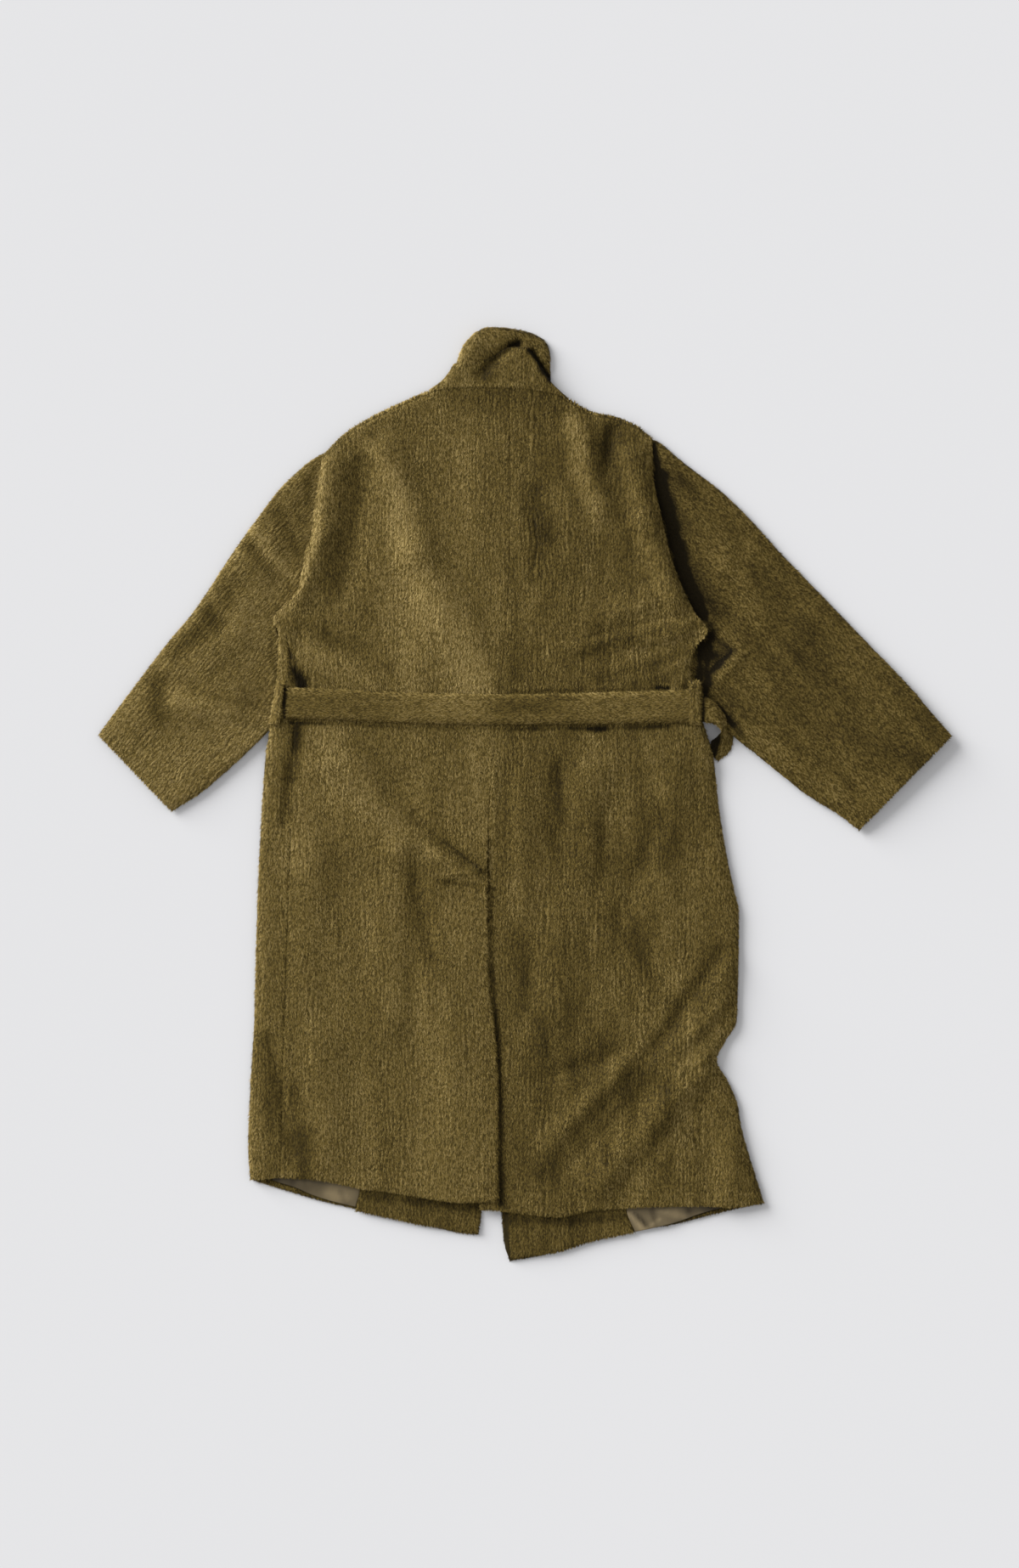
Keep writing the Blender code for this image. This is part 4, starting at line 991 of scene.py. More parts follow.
class CoatColours(bpy.types.PropertyGroup):
    """Colours of the cloth, lining, buttons and floor."""

    # Besides the darkest and lightest hairs, the dark end paints shadows and shaded creases and the light
    # end painted highlights.
    pile_dark: FloatVectorProperty(name="Dark pile", description="Colour of the darkest hairs",
                                   default=(0.008, 0.0055, 0.0016),
                                   size=3, min=0.0, max=1.0, subtype="COLOR")
    pile_middle: FloatVectorProperty(name="Pile", description="Colour of most hairs",
                                     default=(0.246, 0.174, 0.046),
                                     size=3, min=0.0, max=1.0, subtype="COLOR")
    pile_light: FloatVectorProperty(name="Light pile", description="Colour of the lightest hairs",
                                    default=(0.65, 0.488, 0.195),
                                    size=3, min=0.0, max=1.0, subtype="COLOR")
    # Darker than the hairs: painted shade deep in the pile, which shows between the hairs.
    ground: FloatVectorProperty(name="Ground cloth", description="Colour of the cloth under the pile",
                                default=(0.085, 0.061, 0.015),
                                size=3, min=0.0, max=1.0, subtype="COLOR")
    lining: FloatVectorProperty(name="Lining", description="Colour of the satin lining",
                                default=(0.155, 0.118, 0.062),
                                size=3, min=0.0, max=1.0, subtype="COLOR")
    horn: FloatVectorProperty(name="Horn", description="Colour of the buttons",
                              default=(0.030, 0.022, 0.014),
                              size=3, min=0.0, max=1.0, subtype="COLOR")
    floor: FloatVectorProperty(name="Floor", description="Colour of the studio floor",
                               default=(0.806, 0.806, 0.820),
                               size=3, min=0.0, max=1.0, subtype="COLOR")


class StageSizes(bpy.types.PropertyGroup):
    """Places of the camera and the light."""

    frame_height: FloatProperty(name="Frame height", description="Height of the picture on the floor",
                                default=2.3075, min=0.1, unit="LENGTH")
    camera_height: FloatProperty(name="Camera height", description="Height of the camera over the floor",
                                 default=6.0, min=1.0, unit="LENGTH")
    camera_place: FloatVectorProperty(name="Camera place", description="Place on the floor below the camera",
                                      default=(-0.0231, 0.0156),
                                      size=2, subtype="XYZ", unit="LENGTH")
    sun_height: FloatProperty(name="Light height", description="Height of the main light over the floor",
                              default=0.36, subtype="ANGLE", unit="ROTATION")
    sun_side: FloatProperty(name="Light side", description="Turn of the main light from +Y towards -X",
                            default=0.95, subtype="ANGLE", unit="ROTATION")
    sun_spread: FloatProperty(name="Light spread", description="Width of the main light in the sky",
                              default=0.70, subtype="ANGLE", unit="ROTATION")
    sun_strength: FloatProperty(name="Light strength", description="Strength of the main light",
                                default=4.48, min=0.0)
    sky_strength: FloatProperty(name="Sky strength", description="Strength of the even light all round",
                                default=0.48, min=0.0)


class CoatSettings(bpy.types.PropertyGroup):
    """Everything a user would change."""

    sizes: PointerProperty(type=CoatSizes)
    colours: PointerProperty(type=CoatColours)
    stage: PointerProperty(type=StageSizes)
    seed: IntProperty(name="Seed", description="Start of the random draws", default=7)


def settings():
    """Give the scene's coat settings."""
    return bpy.context.scene.overcoat


def sizes():
    """Give the sizes of the cloth."""
    return settings().sizes


def new_material(name):
    """Start a material and give its tree and shader."""
    material = bpy.data.materials.new(name)
    material.use_nodes = True
    return material, material.node_tree, material.node_tree.nodes["Principled BSDF"]


def ramp(tree, value, stops):
    """Add a colour ramp fed by a value; a stop is a place and a colour."""
    node = tree.nodes.new("ShaderNodeValToRGB")
    while len(node.color_ramp.elements) < len(stops):
        node.color_ramp.elements.new(0.5)
    for element, (place, colour) in zip(node.color_ramp.elements, stops):
        element.position = place
        element.color = tuple(colour) + (1.0,)
    tree.links.new(value, node.inputs["Fac"])
    return node.outputs["Color"]


def noise(tree, vector, scale, detail, stretch=(1.0, 1.0, 1.0)):
    """Add noise on a vector that is stretched first."""
    mapping = tree.nodes.new("ShaderNodeMapping")
    mapping.inputs["Scale"].default_value = stretch
    tree.links.new(vector, mapping.inputs["Vector"])
    node = tree.nodes.new("ShaderNodeTexNoise")
    node.inputs["Scale"].default_value = scale
    node.inputs["Detail"].default_value = detail
    tree.links.new(mapping.outputs["Vector"], node.inputs["Vector"])
    return node.outputs["Fac"]


def multiplied(tree, first, second):
    """Multiply two colours."""
    node = tree.nodes.new("ShaderNodeMix")
    node.data_type = "RGBA"
    node.blend_type = "MULTIPLY"
    node.inputs["Factor"].default_value = 1.0
    tree.links.new(first, node.inputs["A"])
    tree.links.new(second, node.inputs["B"])
    return node.outputs["Result"]


def scaled(colour, factor):
    """Give a colour made lighter or darker by a factor."""
    return [factor * value for value in colour]


def object_place(tree):
    """Give places on the object."""
    return tree.nodes.new("ShaderNodeTexCoord").outputs["Object"]


def piece_shade(tree):
    """Give the shade that a shell holds at each of its points, painted light and shade included."""
    node = tree.nodes.new("ShaderNodeAttribute")
    node.attribute_name = "shade"
    return node.outputs["Fac"]


def bumped(tree, shader, height, strength, distance):
    """Raise a shader's surface by a height."""
    node = tree.nodes.new("ShaderNodeBump")
    node.inputs["Strength"].default_value = strength
    node.inputs["Distance"].default_value = distance
    tree.links.new(height, node.inputs["Height"])
    tree.links.new(node.outputs["Normal"], shader.inputs["Normal"])


def pile_material():
    """Make the pile's finish: its map holds each hair's shade across, and root to tip upwards."""
    colours = settings().colours
    material, tree, shader = new_material("coat_pile")
    place = tree.nodes.new("ShaderNodeUVMap")
    place.uv_map = "OFBake"
    split = tree.nodes.new("ShaderNodeSeparateXYZ")
    tree.links.new(place.outputs["UV"], split.inputs["Vector"])
    shade = ramp(tree, split.outputs["X"], [(0.0, colours.pile_dark),
                                            (SHADE_BASE * SHADE_SHARE, colours.pile_middle),
                                            (1.0, colours.pile_light)])
    # Painted shade: each hair darkens towards its root, where the pile shades itself.
    depth = ramp(tree, split.outputs["Y"], [(0.0, (0.34, 0.32, 0.28)),
                                            (0.5, (0.80, 0.79, 0.76)),
                                            (1.0, WHITE)])
    tree.links.new(multiplied(tree, shade, depth), shader.inputs["Base Color"])
    shader.inputs["Roughness"].default_value = 0.66
    shader.inputs["Specular IOR Level"].default_value = 0.06
    shader.inputs["Sheen Weight"].default_value = 0.02
    shader.inputs["Sheen Roughness"].default_value = 0.5
    return material


def ground_material():
    """Make the cloth under the pile: streaked along the nap, with the painted light and shade that its shell
    holds.
    """
    colours = settings().colours
    material, tree, shader = new_material("coat_ground")
    streaks = noise(tree, object_place(tree), scale=260.0, detail=3.0, stretch=(1.0, 0.3, 1.0))
    depth = ramp(tree, streaks, [(0.3, (0.6, 0.6, 0.6)), (0.7, WHITE)])
    tone = ramp(tree, piece_shade(tree), [(0.0, colours.pile_dark),
                                          (0.5, colours.ground),
                                          (1.0, scaled(colours.ground, 2.6))])
    tree.links.new(multiplied(tree, tone, depth), shader.inputs["Base Color"])
    shader.inputs["Roughness"].default_value = 0.92
    shader.inputs["Specular IOR Level"].default_value = 0.15
    bumped(tree, shader, streaks, strength=0.6, distance=0.002)
    return material


def lining_material():
    """Make the satin lining: smooth, with a fine twill, slow changes of tone, and painted light and shade on
    its folds and left end.
    """
    colours = settings().colours
    material, tree, shader = new_material("coat_lining")
    place = object_place(tree)
    slow = noise(tree, place, scale=34.0, detail=2.0)
    cloth = ramp(tree, slow, [(0.3, scaled(colours.lining, 1.45)), (0.7, scaled(colours.lining, 2.05))])
    # Painted light and shade of the lining's table, held by the shell.
    folds = ramp(tree, piece_shade(tree), [(0.0, (0.10, 0.09, 0.07)),
                                           (0.5, (0.55, 0.55, 0.55)),
                                           (1.0, WHITE)])
    tree.links.new(multiplied(tree, cloth, folds), shader.inputs["Base Color"])
    twill = tree.nodes.new("ShaderNodeTexWave")
    twill.bands_direction = "DIAGONAL"
    twill.inputs["Scale"].default_value = 330.0
    twill.inputs["Distortion"].default_value = 0.4
    tree.links.new(place, twill.inputs["Vector"])
    gloss = ramp(tree, slow, [(0.2, (0.48, 0.48, 0.48)), (0.8, (0.60, 0.60, 0.60))])
    tree.links.new(gloss, shader.inputs["Roughness"])
    shader.inputs["Specular IOR Level"].default_value = 0.26
    shader.inputs["Sheen Weight"].default_value = 0.05
    bumped(tree, shader, twill.outputs["Fac"], strength=0.12, distance=0.0003)
    return material


def horn_material():
    """Make the buttons' horn: dark, with cloudy streaks."""
    dark = settings().colours.horn
    material, tree, shader = new_material("coat_horn")
    clouds = noise(tree, object_place(tree), scale=120.0, detail=4.0, stretch=(1.0, 0.35, 1.0))
    horn = ramp(tree, clouds, [(0.35, dark), (0.75, scaled(dark, 3.0))])
    tree.links.new(horn, shader.inputs["Base Color"])
    shader.inputs["Roughness"].default_value = 0.30
    return material


def floor_material():
    """Make the pale studio floor."""
    pale = settings().colours.floor
    material, tree, shader = new_material("coat_floor")
    slow = noise(tree, object_place(tree), scale=0.8, detail=1.0)
    floor = ramp(tree, slow, [(0.3, scaled(pale, 0.99)), (0.7, pale)])
    tree.links.new(floor, shader.inputs["Base Color"])
    shader.inputs["Roughness"].default_value = 0.95
    shader.inputs["Specular IOR Level"].default_value = 0.0
    return material


def material_for(name, maker):
    """Give a material, made once."""
    return bpy.data.materials.get(name) or maker()


def mesh_object(name, points, faces, material):
    """Make an object from arrays of points and of faces with equal corners."""
    mesh = bpy.data.meshes.new(name)
    corners = faces.shape[1]
    mesh.vertices.add(len(points))
    mesh.vertices.foreach_set("co", np.ascontiguousarray(points, dtype=np.float32).ravel())
    mesh.loops.add(faces.size)
    mesh.loops.foreach_set("vertex_index", np.ascontiguousarray(faces, dtype=np.int32).ravel())
    mesh.polygons.add(len(faces))
    mesh.polygons.foreach_set("loop_start", np.arange(0, faces.size, corners, dtype=np.int32))
    mesh.polygons.foreach_set("use_smooth", np.ones(len(faces), dtype=bool))
    mesh.update(calc_edges=True)
    mesh.materials.append(material)
    piece = bpy.data.objects.new(name, mesh)
    bpy.context.scene.collection.objects.link(piece)
    return piece


def set_map(piece, faces, places):
    """Give a piece its map from one place for each point."""
    layer = piece.data.uv_layers.new(name="OFBake")
    layer.data.foreach_set("uv", np.ascontiguousarray(places[faces.ravel()], dtype=np.float32).ravel())


def sheet_points(plan, rest, thickness, rim):
    """Give the upper and under points of a sheet that thins out over its rim."""
    low = rest(plan)
    edge = np.min([plan.from_left, plan.from_right, plan.from_top, plan.from_bottom], axis=0)
    high = low + thickness / MM * (RIM_THIN + (1.0 - RIM_THIN) * rounded(edge, rim))
    upper = np.stack([plan.x, plan.y, high], axis=-1) * MM
    under = np.stack([plan.x, plan.y, low], axis=-1) * MM
    return upper, under


def shell_object(name, upper, under, material):
    """Close the upper and under points of a sheet into one shell."""
    rows, columns = upper.shape[:2]
    index = np.arange(rows * columns).reshape(rows, columns)
    quads = np.stack([index[:-1, :-1], index[:-1, 1:], index[1:, 1:], index[1:, :-1]], axis=-1)
    quads = quads.reshape(-1, 4)
    rim = np.concatenate([index[0, :-1], index[:-1, -1], index[-1, :0:-1], index[:0:-1, 0]])
    after = np.roll(rim, -1)
    below = rows * columns
    walls = np.stack([rim + below, after + below, after, rim], axis=-1)
    faces = np.concatenate([quads, quads[:, ::-1] + below, walls])
    points = np.concatenate([upper.reshape(-1, 3), under.reshape(-1, 3)])
    if np.cross(upper[0, -1] - upper[0, 0], upper[-1, 0] - upper[0, 0])[2] < 0.0:
        faces = faces[:, ::-1]
    piece = mesh_object(name, points, faces, material)
    across = np.linspace(MAP_EDGE, MAP_HALF, columns)[None, :] + np.zeros((rows, 1))
    along = np.linspace(MAP_EDGE, 1.0 - MAP_EDGE, rows)[:, None] + np.zeros((1, columns))
    over = np.stack([across, along], axis=-1).reshape(-1, 2)
    set_map(piece, faces, np.concatenate([over, over + (MAP_SHIFT, 0.0)]))
    return piece


def normalised(vectors):
    """Give vectors of length one."""
    return vectors / np.maximum(np.linalg.norm(vectors, axis=-1, keepdims=True), 1e-12)


def scatter(upper, edges, draw):
    """Spread roots evenly over a sheet's upper points.

    Gives each root with its distances from the four edges, and the ways across and along the sheet there.
    """
    grid = np.concatenate([upper, edges], axis=-1)
    parts = (grid[:-1, :-1], grid[:-1, 1:], grid[1:, 1:], grid[1:, :-1])
    corners = [part.reshape(-1, grid.shape[-1]) for part in parts]
    rising, falling = (corners[2] - corners[0])[:, :3], (corners[3] - corners[1])[:, :3]
    area = 0.5 * np.linalg.norm(np.cross(rising, falling), axis=-1)
    wanted = area * sizes().pile_count * CENTIMETRES
    counts = np.floor(wanted + draw.random(area.size)).astype(int)
    cell = np.repeat(np.arange(area.size), counts)
    first, second, third, fourth = (corner[cell] for corner in corners)
    order = np.arange(len(cell))[:, None]
    over, up = ((step * order + EVEN_JITTER * draw.random(order.shape)) % 1.0 for step in EVEN_STEPS)
    place = ((1 - over) * (1 - up) * first + over * (1 - up) * second + over * up * third
             + (1 - over) * up * fourth)
    across = normalised((1 - up) * (second - first)[:, :3] + up * (third - fourth)[:, :3])
    along = normalised((1 - over) * (fourth - first)[:, :3] + over * (third - second)[:, :3])
    return place, across, along


def ribs(breadth, run, seed, strength):
    """Give the rise and the slant of faint, broken ribs along the nap."""
    angle = 2.0 * np.pi * (breadth * MM / sizes().rib + waves(breadth, run, RIB_BEND, seed))
    strength = strength * (RIB_FADE_LEVEL + waves(breadth, run, RIB_FADE, seed))
    strength = strength * (RIB_BREAK_LEVEL + waves(breadth, run, RIB_BREAK, seed))
    return strength * np.cos(angle), strength * np.sin(angle)


def varied(pair, chance):
    """Give the least of a pair and what chance, from 0 to 1, adds to it."""
    return pair[0] + pair[1] * chance


def pile_object(name, upper, edges, pile):
    """Grow single tapering hairs on a sheet's upper points, leaning along its nap, as one mesh.

    The pile's entries are its seed and, where they aren't the common ones, its nap or flows for hairs that
    follow the sheet, its edges, length, ribbed, tone and shades, where it grows, and where edges are free.
    """
    size = sizes()
    seed = pile["seed"]
    draw = np.random.default_rng(settings().seed * SEED_STEP + seed)
    place, across, along = scatter(upper, edges, draw)
    if "grows" in pile:
        kept = pile["grows"](place[:, 0] / MM, place[:, 1] / MM)
        place, across, along = place[kept], across[kept], along[kept]
    total = len(place)
    root, edge = place[:, :3], place[:, 3:]
    normal = normalised(np.cross(across, along))
    normal = np.where(normal[:, 2:] < TURNED_OVER, -normal, normal)
    x, y = root[:, 0] / MM, root[:, 1] / MM
    nap = pile.get("nap", DOWN)
    breadth, run = nap[0] * y - nap[1] * x, nap[0] * x + nap[1] * y
    rise, slant = ribs(breadth, run, seed, pile.get("ribbed", 1.0))
    lock = np.clip(waves(breadth, run, LOCKS, seed), *LOCK_LIMITS)
    push = np.array(pile.get("edges", EDGE_PUSH))[None]
    if "free" in pile:
        push = push * pile["free"](x, y)[:, None]
    out = np.exp(-edge / EDGE_REACH) * push
    lay = along if pile.get("flows") else np.array([*nap, 0.0])[None]
    lay = lay + across * (out[:, 1:2] - out[:, :1]) + along * (out[:, 3:] - out[:, 2:3])
    lay = normalised(lay - normal * np.sum(lay * normal, axis=-1, keepdims=True))
    turn = waves(breadth, run, LOCK_TURN, seed) + waves(x, y, NAP_TURN, seed) + RIB_TURN * slant
    turn = (size.sway * turn + HAIR_TURN * draw.normal(size=total))[:, None]
    side = np.cross(normal, lay)
    lay, side = lay * np.cos(turn) + side * np.sin(turn), side * np.cos(turn) - lay * np.sin(turn)
    lift = (size.lean * (1.0 + LOCK_LIFT * lock + HAIR_LIFT * draw.normal(size=total)))[:, None]
    reach = pile.get("length", size.pile_length) * varied(HAIR_LENGTH, draw.random(total))
    fringe = (np.exp(-edge / FRINGE_REACH) * np.minimum(push, 1.0)).max(axis=1)
    reach = (reach * (1.0 + fringe * varied(FRINGE_LENGTH, draw.random(total))))[:, None]
    half = (0.5 * size.pile_width * varied(HAIR_WIDTH, draw.random(total)))[:, None]
    tip = root + reach * (np.cos(lift) * lay + np.sin(lift) * normal)
    points = np.stack([root + half * side, root - half * side, tip], axis=1)
    points[..., 2] = np.maximum(points[..., 2], FLOOR_GAP)
    faces = np.arange(3 * total).reshape(-1, 3)
    piece = mesh_object(name, points.reshape(-1, 3), faces, material_for("coat_pile", pile_material))
    shade = shade_at(x, y, breadth, run, pile.get("shades", BACK_NAP_AND_PAINTED_SHADING))
    shade = SHADE_BASE + pile.get("tone", 0.0) + shade
    change = 1.0 + lock + RIB_SHADE * rise + HAIR_SHADE * draw.normal(size=total)
    shade = np.clip(SHADE_SHARE * (shade * np.clip(change, *HAIR_SHADE_LIMITS)), *SHADE_LIMITS)
    corners = np.array(HAIR_MAP)
    places = np.stack([shade[:, None] + corners[:, 0], np.tile(corners[:, 1], (total, 1))], axis=-1)
    set_map(piece, faces, places.reshape(-1, 2))
    blade = normalised(np.cross(tip - root, side))
    blade = np.where(np.sum(blade * normal, axis=-1, keepdims=True) < 0.0, -blade, blade)
    tilt = (LOCK_TILT * lock + RIB_TILT * slant)[:, None]
    soft = normalised(normal + BLADE_TILT * blade + tilt * side)
    flank = np.array([FLANK_TILT, -FLANK_TILT, 0.0])[None, :, None] * side[:, None, :]
    piece.data.normals_split_custom_set_from_vertices(normalised(soft[:, None, :] + flank).reshape(-1, 3))
    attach(piece, "root")
    return piece


def lay_sheet(node, plan, rest, thickness=None, rim=RIM, piles=(),
              material=None, bent=False, shades=BACK_NAP_AND_PAINTED_SHADING):
    """Make one cut piece with its pile, hide the frame's part it stands for, and work out the size it was
    cut to.

    A bent piece goes up and down over another, so its cut is as long as its own surface.
    """
    thickness = thickness or sizes().cloth
    material = material or material_for("coat_ground", ground_material)
    upper, under = sheet_points(plan, rest, thickness, rim)
    piece = shell_object(node + "_cloth", upper, under, material)
    lead = piles[0] if piles else {}
    # The shell takes the painted light and shade of its pile, or of its own table, as a point attribute.
    shade = shade_at(plan.x, plan.y, plan.x, plan.y, lead.get("shades", shades))
    shade = np.clip(SHADE_BASE + lead.get("tone", 0.0) + shade, 0.0, 1.0)
    layer = piece.data.attributes.new("shade", "FLOAT", "POINT")
    layer.data.foreach_set("value", np.tile(shade.ravel(), 2).astype(np.float32))
    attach(piece, "root")
    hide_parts(node)
    edges = np.stack([plan.from_left, plan.from_right, plan.from_bottom, plan.from_top], axis=-1)
    for pile in piles:
        start, end = (int(round(share * (len(upper) - 1))) for share in pile.get("rows", (0.0, 1.0)))
        name = node + "_pile" + pile.get("name", "")
        pile_object(name, upper[start:end + 1], edges[start:end + 1], pile)
    flat, area = plan.flat, plan.area
    if bent:
        middle = under[:, under.shape[1] // 2]
        flat = (flat[0], float(np.linalg.norm(np.diff(middle, axis=0), axis=-1).sum()))
        area = flat[0] * flat[1]
    return piece


def insets(left, right, bottom, top):
    """Give the insets of a plan's edges from shares of the common one: 0 at a seam, less than 0 past it."""
    return tuple(sizes().edge_inset / MM * share for share in (left, right, bottom, top))


def free_edge(x, y):
    """Tell how far the back's pile may turn out at an edge: not at neck and seam, little at the armholes."""
    neck = plateau(NECK_COLUMNS, x) * smooth(*NECK_ROWS, y)
    armhole = plateau(ARMHOLE_ROWS, y)
    seam = plateau(SEAM_COLUMNS, x) * smooth(*SEAM_ROWS, y)
    return (1.0 - neck) * (1.0 - ARMHOLE_HOLD * armhole) * (1.0 - seam)


class OVERCOAT_OT_fronts(bpy.types.Operator):
    """Make the two fronts under the back, with their facings at the hem"""

    bl_idname = "overcoat.fronts"
    bl_label = "Fronts and facings"

    def execute(self, context):
        """Lay both fronts, then what is sewn on their inside at the hem."""
        inset = insets(1, 1, 1.4, 1)
        # The hem strip's tone is painted shade, where it lies under the back's hem.
        hem = {"rows": (0.0, 0.14), "name": "_hem", "tone": -0.22, "length": HEM_PILE}
        left = Plan(shift(SIDE_LEFT[:-1] + ARMHOLE_LEFT, FRONT_TUCK), FRONT_EDGE_LEFT, FRONT_HEM_LEFT,
                    FRONT_SHOULDER_LEFT, HIDDEN_SPACING, inset=inset)
        lay_sheet("front_left", left, on_plan(under_lift), FRONT_TOP * MM,
                  piles=[dict(hem, seed=100, grows=self.shows_left)])
        right = Plan(FRONT_EDGE_RIGHT, shift(SIDE_RIGHT + ARMHOLE_RIGHT, -FRONT_TUCK), FRONT_HEM_RIGHT,
                     FRONT_SHOULDER_RIGHT, HIDDEN_SPACING, inset=inset)
        lay_sheet("front_right", right, front_right_rest, FRONT_TOP * MM,
                  piles=[dict(hem, seed=120, grows=self.shows_right)])
        # The facings' tones are painted shade: they lie low, in the shadow of the back's hem.
        facing = {"rows": (0.0, 0.75), "shades": FACING_PAINTED_SHADOW, "length": FACING_PILE}
        for node, edges, bottom, front, seed, tone in (
                ("facing_left", FACING_LEFT_EDGES, FACING_LEFT_HEM, "front_left", 140, -0.16),
                ("facing_right", FACING_RIGHT_EDGES, FACING_RIGHT_HEM, "front_right", 160, -0.08)):
            plan = Plan(*edges, bottom, [], FACING_SPACING)
            lay_sheet(node, plan, facing_rest, piles=[dict(facing, seed=seed, tone=tone)])
        return {"FINISHED"}

    @staticmethod
    def shows_left(x, y):
        """Tell where the left front shows: beside its facing, and below facing and lining."""
        beside = (x > EDGE_STRIP_LEFT[0]) & (y < EDGE_STRIP_LEFT[1])
        return beside | (y < line_y(x, HEM_STRIP_LEFT))

    @staticmethod
    def shows_right(x, y):
        """Tell where the right front shows: beside its facing, and below facing and lining."""
        beside = (x < EDGE_STRIP_RIGHT[0]) & (y < EDGE_STRIP_RIGHT[1])
        return beside | (y < line_y(x, HEM_STRIP_RIGHT))


class OVERCOAT_OT_linings(bpy.types.Operator):
    """Make the satin lining that shows at the hem"""

    bl_idname = "overcoat.linings"
    bl_label = "Linings"

    def execute(self, context):
        """Lay both linings on the fronts."""
        satin = material_for("coat_lining", lining_material)
        for node, edges, bottom, front in (
                ("lining_left", LINING_LEFT_EDGES, LINING_LEFT_HEM, "front_left"),
                ("lining_right", LINING_RIGHT_EDGES, LINING_RIGHT_HEM, "front_right")):
            plan = Plan(*edges, bottom, [], LINING_SPACING, rim=2.0)
            lay_sheet(node, plan, lining_rest, sizes().lining, rim=2.0,
                      material=satin, shades=LINING_PAINTED_SHADING)
        return {"FINISHED"}


class OVERCOAT_OT_backs(bpy.types.Operator):
    """Make both halves of the back and the turned strip at the left side"""

    bl_idname = "overcoat.backs"
    bl_label = "Back"

    def execute(self, context):
        """Lay the strip and the two halves, each half with its pile in three stretches."""
        strip = Plan(SIDE_LEFT, SEAM_LEFT + [SEAM_LEFT_TIP], [], [], STRIP_SPACING,
                     inset=insets(0.5, 0, 1.4, 0))
        lay_sheet("side_left", strip, on_plan(side_left_level), piles=[{"seed": 200}])
        lower = {"free": free_edge, "rows": (0.0, 0.32), "name": "_hem"}
        middle = {"free": free_edge, "rows": (0.32, 0.64), "name": "_skirt"}
        upper = {"free": free_edge, "rows": (0.64, 1.0), "name": "_body"}
        left = Plan(shift(SEAM_LEFT, SEAM_GAP) + ARMHOLE_LEFT, shift(CENTRE_HEM + CENTRE_SEAM, -SEAM_GAP),
                    BACK_HEM_LEFT, SHOULDER_LEFT, BACK_SPACING, inset=insets(0.6, 0, 1.4, 1.2))
        lay_sheet("back_left", left, back_left_rest,
                  piles=[dict(lower, seed=220), dict(middle, seed=230), dict(upper, seed=240)])
        right = Plan(UNDERLAP + shift(CENTRE_SEAM, SEAM_GAP), SIDE_RIGHT + ARMHOLE_RIGHT, BACK_HEM_RIGHT,
                     SHOULDER_RIGHT, BACK_SPACING, inset=insets(0, 1, 1.4, 1.2))
        lay_sheet("back_right", right, back_right_rest,
                  piles=[dict(lower, seed=260, ribbed=1.2), dict(middle, seed=270, ribbed=1.2),
                         dict(upper, seed=280, ribbed=1.4)])
        return {"FINISHED"}


class OVERCOAT_OT_sleeves(bpy.types.Operator):
    """Make both sleeves, each as an upper and an under half"""

    bl_idname = "overcoat.sleeves"
    bl_label = "Sleeves"

    def execute(self, context):
        """Lay the under halves on the floor and the upper halves on them."""
        # An under half lies a little inside its upper half.
        under_left = (shift(SLEEVE_LEFT_OUTER[:-2], 2.2, -2.2) + [(-296.6, 502)],
                      shift(SLEEVE_LEFT_INNER[:-1], -1.8, 2.4) + [(-378, 93)])
        under_right = (shift(SLEEVE_RIGHT_INNER[:-1], 1.8, 2.4) + [(250, 143)],
                       shift(SLEEVE_RIGHT_OUTER[:-2], -2.2, -2.2) + [(186.6, 526)])
        under_head_right = shift(SIDE_RIGHT[-2:] + ARMHOLE_RIGHT[:-1], -UNDER_GAP)
        pile = {"shades": SLEEVE_NAP_AND_PAINTED_SHADING, "edges": (0.8, 0.8, 0.0, 0.0), "ribbed": 0.9}
        # The sleeves' tones are partly the nap's tone, partly painted light on the left sleeve and painted
        # shade on the right one.
        for node, under, under_head, upper, upper_head, own in (
                ("sleeve_left", under_left, UNDER_HEAD_LEFT,
                 (SLEEVE_LEFT_OUTER, SLEEVE_LEFT_INNER), SLEEVE_HEAD_LEFT,
                 {"nap": SLEEVE_LEFT_NAP, "seed": 300, "tone": 0.095}),
                ("sleeve_right", under_right, under_head_right,
                 (SLEEVE_RIGHT_INNER, SLEEVE_RIGHT_OUTER), SLEEVE_HEAD_RIGHT,
                 {"nap": SLEEVE_RIGHT_NAP, "seed": 320, "tone": -0.100})):
            plan = Plan(*under, [], under_head, HIDDEN_SPACING, inset=insets(1, 1, 1, 0))
            lay_sheet(node + "_under", plan, flat_rest, FRONT_TOP * MM)
            plan = Plan(*upper, [], upper_head, SLEEVE_SPACING, inset=insets(1, 1, 1.2, 0))
            lay_sheet(node + "_upper", plan, sleeve_rest, piles=[dict(pile, **own)])
        return {"FINISHED"}


class OVERCOAT_OT_collar(bpy.types.Operator):
    """Make the turned-up collar"""

    bl_idname = "overcoat.collar"
    bl_label = "Collar"

    def execute(self, context):
        """Lay the far layer, then the near fold over it."""
        pile = {"shades": COLLAR_PAINTED_SHADING, "length": COLLAR_PILE}
        far = Plan(COLLAR_FRONT_LEFT, COLLAR_FRONT_RIGHT, COLLAR_FRONT_NECK, COLLAR_FRONT_TOP,
                   COLLAR_SPACING, inset=insets(1, 1, 0, 1))
        lay_sheet("collar_front", far, collar_front_rest, FRONT_TOP * MM,
                  piles=[dict(pile, seed=400, nap=COLLAR_NAP, edges=(1.4, 0.8, 0.0, 1.0), ribbed=0.0)])
        near = Plan(COLLAR_BACK_LEFT, COLLAR_BACK_RIGHT, COLLAR_BACK_NECK, COLLAR_BACK_TOP,
                    COLLAR_SPACING, inset=insets(1, 0.5, -1.2, 0))
        lay_sheet("collar_back", near, collar_back_rest,
                  piles=[dict(pile, seed=420, edges=(0.8, 0.3, 0.0, 0.0))])
        return {"FINISHED"}


